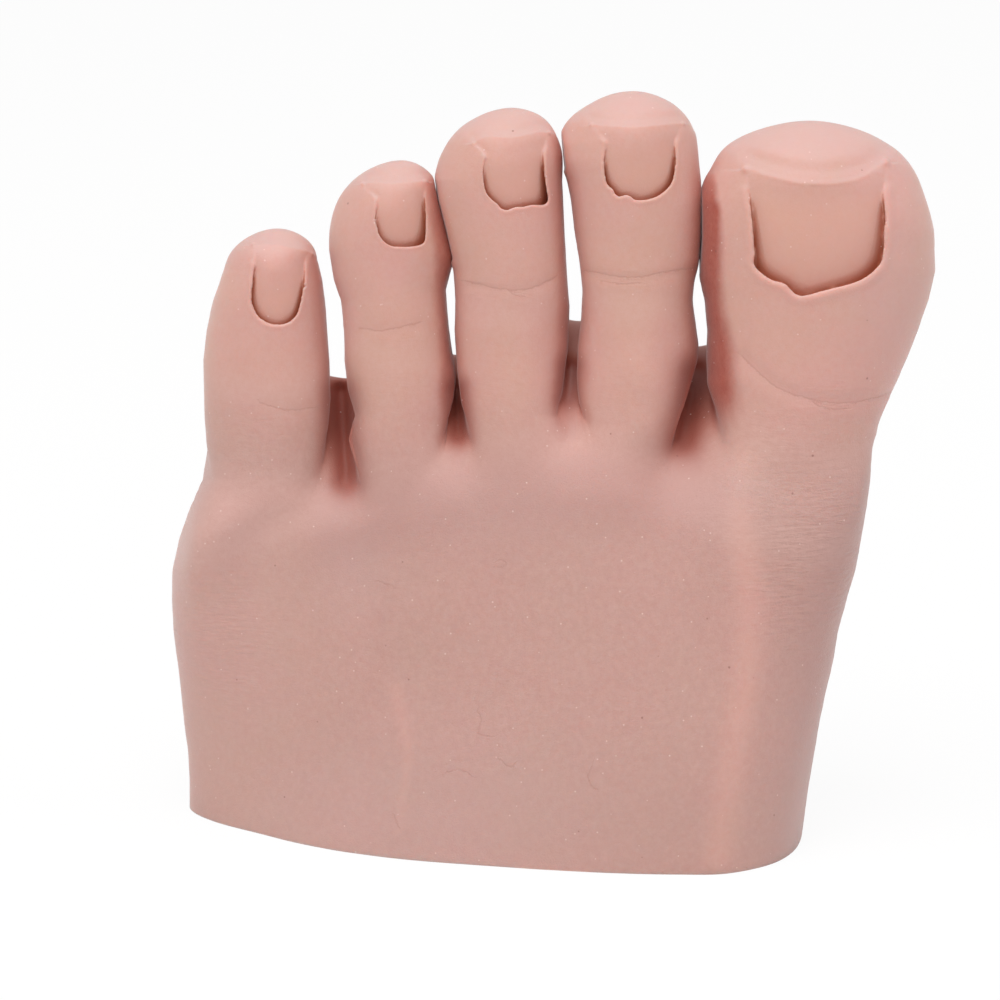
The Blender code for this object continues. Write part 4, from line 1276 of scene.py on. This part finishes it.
def with_nail_well(base, toe, outline, middle_y):
    """A toe's tip with its empty nail well carved in, on a fine and even mesh."""
    points, normals = points_of(base), normals_of(base)
    pixels = in_picture(points)
    front = (points[:, 1] < middle_y) & (normals @ np.array(BACK) > WELL_FACING)
    mask = front * (1 - smoothstep(*WELL_FADE_PIXELS, outside(pixels, outline)))
    depth = bed_depth(toe, pixels) * mask

    def sunk(less):
        mesh = base.copy()
        place_points(mesh, points - normals * np.maximum(depth - less * mask, 0)[:, None])
        return mesh

    near_y = points[:, 1].min() - PRISM_MARGIN
    well = combined(prism(outline, near_y, middle_y), ("DIFFERENCE", sunk(0)))
    pocket = combined(
        prism(grown(outline, POCKET_PIXELS), near_y, middle_y),
        ("DIFFERENCE", sunk(0)), ("INTERSECT", sunk(POCKET_HIGH)),
    )
    holder = holder_of(combined(base, ("DIFFERENCE", well), ("DIFFERENCE", pocket)), "carved")
    remesh = holder.modifiers.new("Even mesh", "REMESH")
    remesh.mode = "VOXEL"
    remesh.voxel_size = BIG_TOE_VOXEL if toe["name"] == "big_toe" else VOXEL
    return shown(holder)


def toe_tip(number, border):
    """A toe's tip with its empty nail well, from the border on."""
    toe = TOES[number]
    name = toe["name"]
    near_border = Plane(border.normal, border.height - REMESH_OVERLAP)
    master = smooth_skin(TOE_LEVELS, number + 1)
    master_tree = tree_of(master)
    middle_y = float(np.median(points_of(master)[:, 1]))
    outline = nail_outline(toe)

    base = smooth_skin(FOOT_LEVELS, number + 1)
    work = start_cut(base)
    only_owner(work, number + 1)
    cut_beyond(work, opened(near_border))
    work.normal_update()
    work.to_mesh(base)
    work.free()
    mesh = with_nail_well(base, toe, outline, middle_y)

    points = points_of(mesh)
    pixels = in_picture(points)
    gap = outside(pixels, outline)
    beyond_wall = smoothstep(WALL_PIXELS - WALL_FADE_PIXELS, WALL_PIXELS, gap)
    near_nail = (points[:, 1] < middle_y) * (1 - beyond_wall)
    on_skin, skin_normal = points.copy(), np.zeros_like(points)
    below = np.zeros(len(points))
    for i, point in enumerate(points):
        place, normal, _, distance = master_tree.find_nearest(point)
        below[i] = (Vector(point) - place).dot(normal)
        skin_normal[i] = normal
        if distance < SKIN_REACH:
            on_skin[i] = place
    points = blurred(mesh, points, RIM_SHARE * near_nail, RIM_ROUNDS)
    points = on_skin + (points - on_skin) * near_nail[:, None]
    place_points(mesh, points)
    normals = normals_of(mesh)
    smooth_normal = skin_normal
    skin_normal = skin_normal + (normals - skin_normal) * near_nail[:, None]
    in_well = smoothstep(*WELL_DEPTHS, -below) * near_nail
    rise = relief(points, skin_normal) * (1 - WELL_CALM * in_well)
    place_points(mesh, points + skin_normal * rise[:, None])
    keep_skin_data(mesh, [border], np.full(len(points), number + 1))

    points, normals = points_of(mesh), normals_of(mesh)
    around = np.flatnonzero(near_nail > 0)
    tree = tree_of(mesh)
    # How enclosed the pocket of the nail well is, for its painted shade
    slot = np.zeros(len(points))
    slot[around] = enclosed(points[around], normals[around], tree, SLOT_REACH) * near_nail[around]
    set_attribute(mesh, "slot", slot)
    set_attribute(mesh, "depth", -below * near_nail / MM)
    # Steep walls of the nail well, which get painted orange shade
    tilted = 1 - np.einsum("ij,ij->i", normals, smooth_normal)
    wall = smoothstep(*WALL_TILTS, tilted) * smoothstep(*WALL_DEPTHS, -below) * near_nail
    set_attribute(mesh, "wall", wall)

    work = start_cut(mesh)
    cut_beyond(work, opened(border))
    finish_cut(work, mesh)
    piece = finished(mesh, name + "_tip_silicone", None, name + "_tip_skin")
    if name == "big_toe":
        carrier, hinge, bend = "forefoot", joint_named(name + "_knuckle"), BIG_TOE_BEND
    else:
        carrier, hinge, bend = name + "_middle", joint_named(name + "_tip_joint"), TIP_BEND
    start = border.point(hinge)
    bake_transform(piece)
    return piece


def linear(hex_colour):
    """Blender's linear colour from an sRGB hex value."""
    made = []
    for i in (1, 3, 5):
        value = int(hex_colour[i : i + 2], 16) / 255
        made.append(value / 12.92 if value <= 0.04045 else ((value + 0.055) / 1.055) ** 2.4)
    return (*made, 1.0)


# Which output feeds a link that names only its node, where it isn't the first: the object's own
# coordinates, an attribute's single value and a mix's colour
FED_FROM = {"ShaderNodeTexCoord": 3, "ShaderNodeAttribute": 2, "ShaderNodeMix": 2}
TIMES, LARGER = dict(operation="MULTIPLY"), dict(operation="MAXIMUM")


def node(tree, kind, settings=None, **links):
    """Adds a node. Its settings are its own values, and "stops" are a ramp's places and colours or
    greys. A link is named for a socket, or _ and its number, and gives what feeds it or its value."""
    made = tree.nodes.new(kind)
    for name, value in (settings or {}).items():
        if name != "stops":
            setattr(made, name, value)
            continue
        points = made.color_ramp.elements
        while len(points) < len(value):
            points.new(0.5)
        for point, (place, colour) in zip(points, value):
            point.position = place
            point.color = linear(colour) if isinstance(colour, str) else (colour, colour, colour, 1)
    for name, value in links.items():
        socket = made.inputs[int(name[1:]) if name[0] == "_" else name.replace("_", " ")]
        if isinstance(value, bpy.types.Node):
            value = value.outputs[FED_FROM.get(value.bl_idname, 0)]
        if isinstance(value, bpy.types.NodeSocket):
            tree.links.new(value, socket)
        else:
            socket.default_value = value
    return made


def plain_material(name):
    made = bpy.data.materials.new(name)
    made.use_nodes = True
    tree = made.node_tree
    tree.nodes.clear()
    return made, tree


# What the silicone reads from its mesh
SKIN_DATA = (
    "toe_end", "dusky", "cool", "hollow", "valley", "between", "bloom", "depth", "slot", "wall",
    "crease", "near_crease", "wrinkled", "seam",
)
BLOTCH, MOTTLE, GRAIN, FURROW = 14 * MM, 0.9 * MM, 0.26 * MM, 0.60 * MM
CLOUD, DRAWN_LINE, PAPER_FIBRE = 4 * MM, 0.15 * MM, 0.8 * MM
DUST_SPACING, SPECK_SPACING = 1.9 * MM, 5.5 * MM
CREASE_WANDER = 0.9
CREASE_TINT = 0.20
LIGHT_DEPTH = 2.0 * MM


def moulded_silicone():
    """Platinum-cure silicone, tinted through and cast in a matt mould: soft, slightly see-through,
    warmer where it is thin, with a powdery sheen where it is seen aslant. Painted reddish shade darkens it
    where it is enclosed, in the nail wells and between the toes, and painted light and sheen pale it on
    ridges and on faces turned up. The grain that the mould leaves is finer in the real one, and is drawn
    as coarse as it needs to show."""
    made, tree = plain_material("tinted_cast_silicone")
    place = node(tree, "ShaderNodeTexCoord")
    skin = {name: node(tree, "ShaderNodeAttribute", dict(attribute_name=name)) for name in SKIN_DATA}

    blotch = node(tree, "ShaderNodeTexNoise", Vector=place, Scale=1 / BLOTCH, Detail=2.0)
    mottle = node(tree, "ShaderNodeTexNoise", Vector=place, Scale=1 / MOTTLE, Detail=5.0, Roughness=0.75)
    dust = node(tree, "ShaderNodeTexVoronoi", Vector=place, Scale=1 / DUST_SPACING, Randomness=1.0)
    speck = node(tree, "ShaderNodeTexVoronoi", Vector=place, Scale=1 / SPECK_SPACING, Randomness=1.0)
    # The forefoot's and the toes' own tones, and the mottled red of the painted shade on sides of toes that
    # a neighbour shades
    foot, toe, fibre = (
        node(tree, "ShaderNodeValToRGB", dict(stops=stops), Fac=pattern) for pattern, stops in (
            (blotch, [(0.35, "#C3968C"), (0.65, "#C2988D")]),
            (blotch, [(0.35, "#D5A196"), (0.65, "#D3A393")]),
            (mottle, [(0.35, "#A65345"), (0.70, "#B26556")]),
        )
    )

    wander = dict(_1=CREASE_WANDER, _2=-CREASE_WANDER / 2)
    wander = node(tree, "ShaderNodeMath", dict(operation="MULTIPLY_ADD"), _0=mottle, **wander)
    off = node(tree, "ShaderNodeMath", dict(operation="ADD"), _0=skin["crease"], _1=wander)
    off = node(tree, "ShaderNodeMath", dict(operation="ABSOLUTE"), _0=off)
    line = node(tree, "ShaderNodeValToRGB", dict(stops=[(0.02, 1.0), (0.19, 0.0)]), Fac=off)
    line = node(tree, "ShaderNodeMath", TIMES, _0=line, _1=skin["near_crease"])
    # Painted shade along the creases and the fine marks cast into the surface
    faint = node(tree, "ShaderNodeMath", TIMES, _0=line, _1=CREASE_TINT)

    # One tint over another: what it follows, how strongly, and its colour
    body = foot
    for share, stops, colour in (
        # The toes' paler tone, with painted light on lit areas and painted highlights along the ridges
        (skin["toe_end"], None, toe),
        (mottle, [(0.35, 0.0), (0.70, 0.26)], "#DDB9B1"),
        # Painted dusky shade below the toes' roots
        (skin["dusky"], [(0.1, 0.0), (0.9, 0.55)], "#B4857D"),
        # Painted cool shade on the side of the forefoot that turns away from the light
        (skin["cool"], [(0.1, 0.0), (0.9, 0.45)], "#B7938D"),
        # Painted reddish shade where the skin is enclosed
        (skin["hollow"], [(0.16, 0.0), (0.60, 0.60), (0.90, 0.90)], "#C4664A"),
        # Painted dark shade in the valleys between the toes
        (skin["valley"], [(0.02, 0.0), (0.90, 0.78)], "#974434"),
        # Painted reddish shade, mottled, on sides of toes that a neighbour shades
        (skin["between"], None, fibre),
        # Painted sheen, paler on faces turned up and on lit areas
        (skin["bloom"], [(0.0, 0.0), (1.0, 0.5)], "#CBABA6"),
        (skin["depth"], [(0.1, 0.0), (0.6, 0.45)], "#E0AA97"),
        # Painted dark orange shade in the pocket under the nail fold
        (skin["slot"], [(0.12, 0.0), (0.45, 0.70), (0.75, 1.0)], "#B05833"),
        # Painted orange shade on the walls of the nail well
        (skin["wall"], [(0.0, 0.0), (1.0, 0.75)], "#B05E3C"),
        (dust, [(0.045, 0.55), (0.07, 0.0)], "#EBD3CC"),
        (speck, [(0.022, 0.6), (0.034, 0.0)], "#8C5A50"),
        # Painted shade along the creases and fine marks
        (faint, None, "#A8705F"),
    ):
        if stops:
            share = node(tree, "ShaderNodeValToRGB", dict(stops=stops), Fac=share)
        if isinstance(colour, str):
            colour = linear(colour)
        body = node(tree, "ShaderNodeMix", dict(data_type="RGBA"), _0=share, _6=body, _7=colour)

    grain = node(tree, "ShaderNodeTexNoise", Vector=place, Scale=1 / GRAIN, Detail=3.0, Roughness=0.7)
    calm = node(tree, "ShaderNodeValToRGB", dict(stops=[(0.0, 1.0), (1.0, 0.5)]), Fac=skin["toe_end"])
    grain = node(tree, "ShaderNodeMath", TIMES, _0=grain, _1=calm)
    flat = node(tree, "ShaderNodeMapping", Vector=place, Rotation=(0.0, 0.16, 0.0), Scale=(0.22, 0.22, 1.0))
    furrow = node(tree, "ShaderNodeTexNoise", Vector=flat, Scale=1 / FURROW, Detail=3.0)
    furrow = node(tree, "ShaderNodeMath", TIMES, _0=furrow, _1=skin["wrinkled"])
    bump = {}
    for height, strength, high, sunk in (
        (grain, 0.7, 0.09, False), (mottle, 0.30, 0.12, False),
        (furrow, 0.95, 0.24, False), (line, 0.45, 0.07, True),
    ):
        bump = dict(Normal=node(
            tree, "ShaderNodeBump", dict(invert=sunk), Strength=strength, Distance=high * MM,
            Height=height, **bump,
        ))
    rough = node(tree, "ShaderNodeValToRGB", dict(stops=[(0.3, 0.46), (0.7, 0.58)]), Fac=mottle)
    under = node(tree, "ShaderNodeValToRGB", dict(stops=[(0.0, 0.36), (1.0, 0.0)]), Fac=skin["seam"])
    shader = node(
        tree, "ShaderNodeBsdfPrincipled", Base_Color=body, Roughness=rough,
        Subsurface_Weight=under, Subsurface_Radius=(1.0, 0.35, 0.22), Subsurface_Scale=LIGHT_DEPTH,
        IOR=1.41, Sheen_Weight=0.28, Sheen_Roughness=0.45, **bump,
    )
    node(tree, "ShaderNodeOutputMaterial", Surface=shader)
    return made


def moulded_nylon():
    """Injection-moulded nylon, unpainted: a milky off-white with a faint cloud and a satin skin."""
    made, tree = plain_material("moulded_nylon")
    place = node(tree, "ShaderNodeTexCoord")
    cloud = node(tree, "ShaderNodeTexNoise", Vector=place, Scale=1 / CLOUD, Detail=3.0)
    colour = node(tree, "ShaderNodeValToRGB", dict(stops=[(0.3, "#E0DCD2"), (0.7, "#D6D1C5")]), Fac=cloud)
    rough = node(tree, "ShaderNodeValToRGB", dict(stops=[(0.3, 0.42), (0.7, 0.52)]), Fac=cloud)
    bump = node(tree, "ShaderNodeBump", Strength=0.2, Distance=0.03 * MM, Height=cloud)
    shader = node(
        tree, "ShaderNodeBsdfPrincipled", Base_Color=colour, Roughness=rough, Normal=bump, IOR=1.53
    )
    node(tree, "ShaderNodeOutputMaterial", Surface=shader)
    return made


def drawn_steel():
    """Drawn stainless steel rod, cut to length: fine lines along the rod, lightly brushed."""
    made, tree = plain_material("drawn_stainless_steel")
    place = node(tree, "ShaderNodeTexCoord")
    drawn = node(tree, "ShaderNodeMapping", Vector=place, Scale=(0.04, 1.0, 1.0))
    lines = node(tree, "ShaderNodeTexNoise", Vector=drawn, Scale=1 / DRAWN_LINE)
    colour = node(tree, "ShaderNodeValToRGB", dict(stops=[(0.3, "#B9B8B6"), (0.7, "#CBCAC8")]), Fac=lines)
    rough = node(tree, "ShaderNodeValToRGB", dict(stops=[(0.3, 0.25), (0.7, 0.38)]), Fac=lines)
    shader = node(tree, "ShaderNodeBsdfPrincipled", Base_Color=colour, Roughness=rough, Metallic=1.0)
    node(tree, "ShaderNodeOutputMaterial", Surface=shader)
    return made


PAPER_WHITE_SHARE = 0.92


def white_paper():
    """White backdrop paper: matt, and seen as plain white with only the soft shadow on it."""
    made, tree = plain_material("white_backdrop_paper")
    rays = node(tree, "ShaderNodeLightPath").outputs
    place = node(tree, "ShaderNodeTexCoord")
    fibre = node(tree, "ShaderNodeTexNoise", Vector=place, Scale=1 / PAPER_FIBRE, Detail=2.0)
    colour = node(tree, "ShaderNodeValToRGB", dict(stops=[(0.3, "#F2F1F0"), (0.7, "#F6F5F4")]), Fac=fibre)
    paper = node(tree, "ShaderNodeBsdfDiffuse", Color=colour)
    lit = node(tree, "ShaderNodeEmission", Color=linear("#FFFFFF"), Strength=1.0)
    seen = node(tree, "ShaderNodeMath", LARGER, _0=rays["Is Camera Ray"], _1=rays["Is Glossy Ray"])
    seen = node(tree, "ShaderNodeMath", LARGER, _0=seen, _1=rays["Is Transmission Ray"])
    share = node(tree, "ShaderNodeMath", TIMES, _0=seen, _1=PAPER_WHITE_SHARE)
    both = node(tree, "ShaderNodeMixShader", _0=share, _1=paper, _2=lit)
    node(tree, "ShaderNodeOutputMaterial", Surface=both)
    return made


# The studio: name, place, size, watts and colour of each soft box, all aimed at the middle of the foot
FLOOR_REACH = 4.0
WORLD_STRENGTH = 0.48
AIM = (0, 0, 50 * MM)
SOFT_BOXES = (
    ("key", (-0.12, -0.24, 0.98), 0.8, 7.7, "#FFFFFF"),
    ("fill", (0.60, -0.05, 0.75), 0.5, 1.2, "#F4EEFA"),
)


def lay_floor(material):
    made = bmesh.new()
    corners = [(-FLOOR_REACH, -FLOOR_REACH), (FLOOR_REACH, -FLOOR_REACH)]
    corners += [(FLOOR_REACH, FLOOR_REACH), (-FLOOR_REACH, FLOOR_REACH)]
    made.faces.new([made.verts.new((x, y, 0)) for x, y in corners])
    mesh = bpy.data.meshes.new("floor")
    made.to_mesh(mesh)
    made.free()
    mesh.materials.append(material)
    floor = holder_of(mesh, "floor")


def light_world():
    """Plain pale surroundings, white where they are seen directly or mirrored."""
    world = bpy.data.worlds.new("studio")
    bpy.context.scene.world = world
    world.use_nodes = True
    tree = world.node_tree
    tree.nodes.clear()
    rays = node(tree, "ShaderNodeLightPath").outputs
    seen = node(tree, "ShaderNodeMath", LARGER, _0=rays["Is Camera Ray"], _1=rays["Is Transmission Ray"])
    around = node(tree, "ShaderNodeBackground", Color=linear("#FFFFFF"), Strength=WORLD_STRENGTH)
    white = node(tree, "ShaderNodeBackground", Color=linear("#FFFFFF"), Strength=1.0)
    both = node(tree, "ShaderNodeMixShader", _0=seen, _1=around, _2=white)
    node(tree, "ShaderNodeOutputWorld", Surface=both)


def soft_box(name, place, size, watts, colour):
    lamp = bpy.data.lights.new(name, "AREA")
    lamp.shape = "DISK"
    lamp.size = size
    lamp.energy = watts
    lamp.color = linear(colour)[:3]
    holder = bpy.data.objects.new(name, lamp)
    bpy.context.scene.collection.objects.link(holder)
    holder.location = place
    holder.rotation_euler = (Vector(place) - Vector(AIM)).to_track_quat("Z", "Y").to_euler()


def set_camera():
    data = bpy.data.cameras.new("camera")
    data.sensor_width = SENSOR_WIDTH
    data.lens = SENSOR_WIDTH * CAMERA_DISTANCE / (PICTURE * PIXEL)
    camera = bpy.data.objects.new("camera", data)
    bpy.context.scene.collection.objects.link(camera)
    camera.location = EYE
    camera.rotation_euler = (-BACK).to_track_quat("-Z", "Y").to_euler()
    bpy.context.scene.camera = camera


def main():
    skin = smooth_skin(SHADE_LEVELS)
    roots = [root_plane(number, skin) for number in range(len(TOES))]
    roots[-1].height += BIG_TOE_STUB
    pieces = [forefoot(roots)]
    for number, root in enumerate(roots):
        if TOES[number]["name"] == "big_toe":
            border = root
        else:
            border = tip_border(number)
            pieces.append(toe_middle(number, root, border))
        pieces.append(toe_tip(number, border))

    silicone = moulded_silicone()
    for piece in pieces:
        piece.data.materials.append(silicone)
    nylon, steel = moulded_nylon(), drawn_steel()
    for name, part in frame["nodes"].items():
        if not name.endswith("_skin"):
            for place in part.material_slots:
                place.material = steel if name.endswith("_pin") else nylon

    lay_floor(white_paper())
    light_world()
    for box in SOFT_BOXES:
        soft_box(*box)
    set_camera()
    bpy.context.scene.view_settings.view_transform = "Standard"


main()
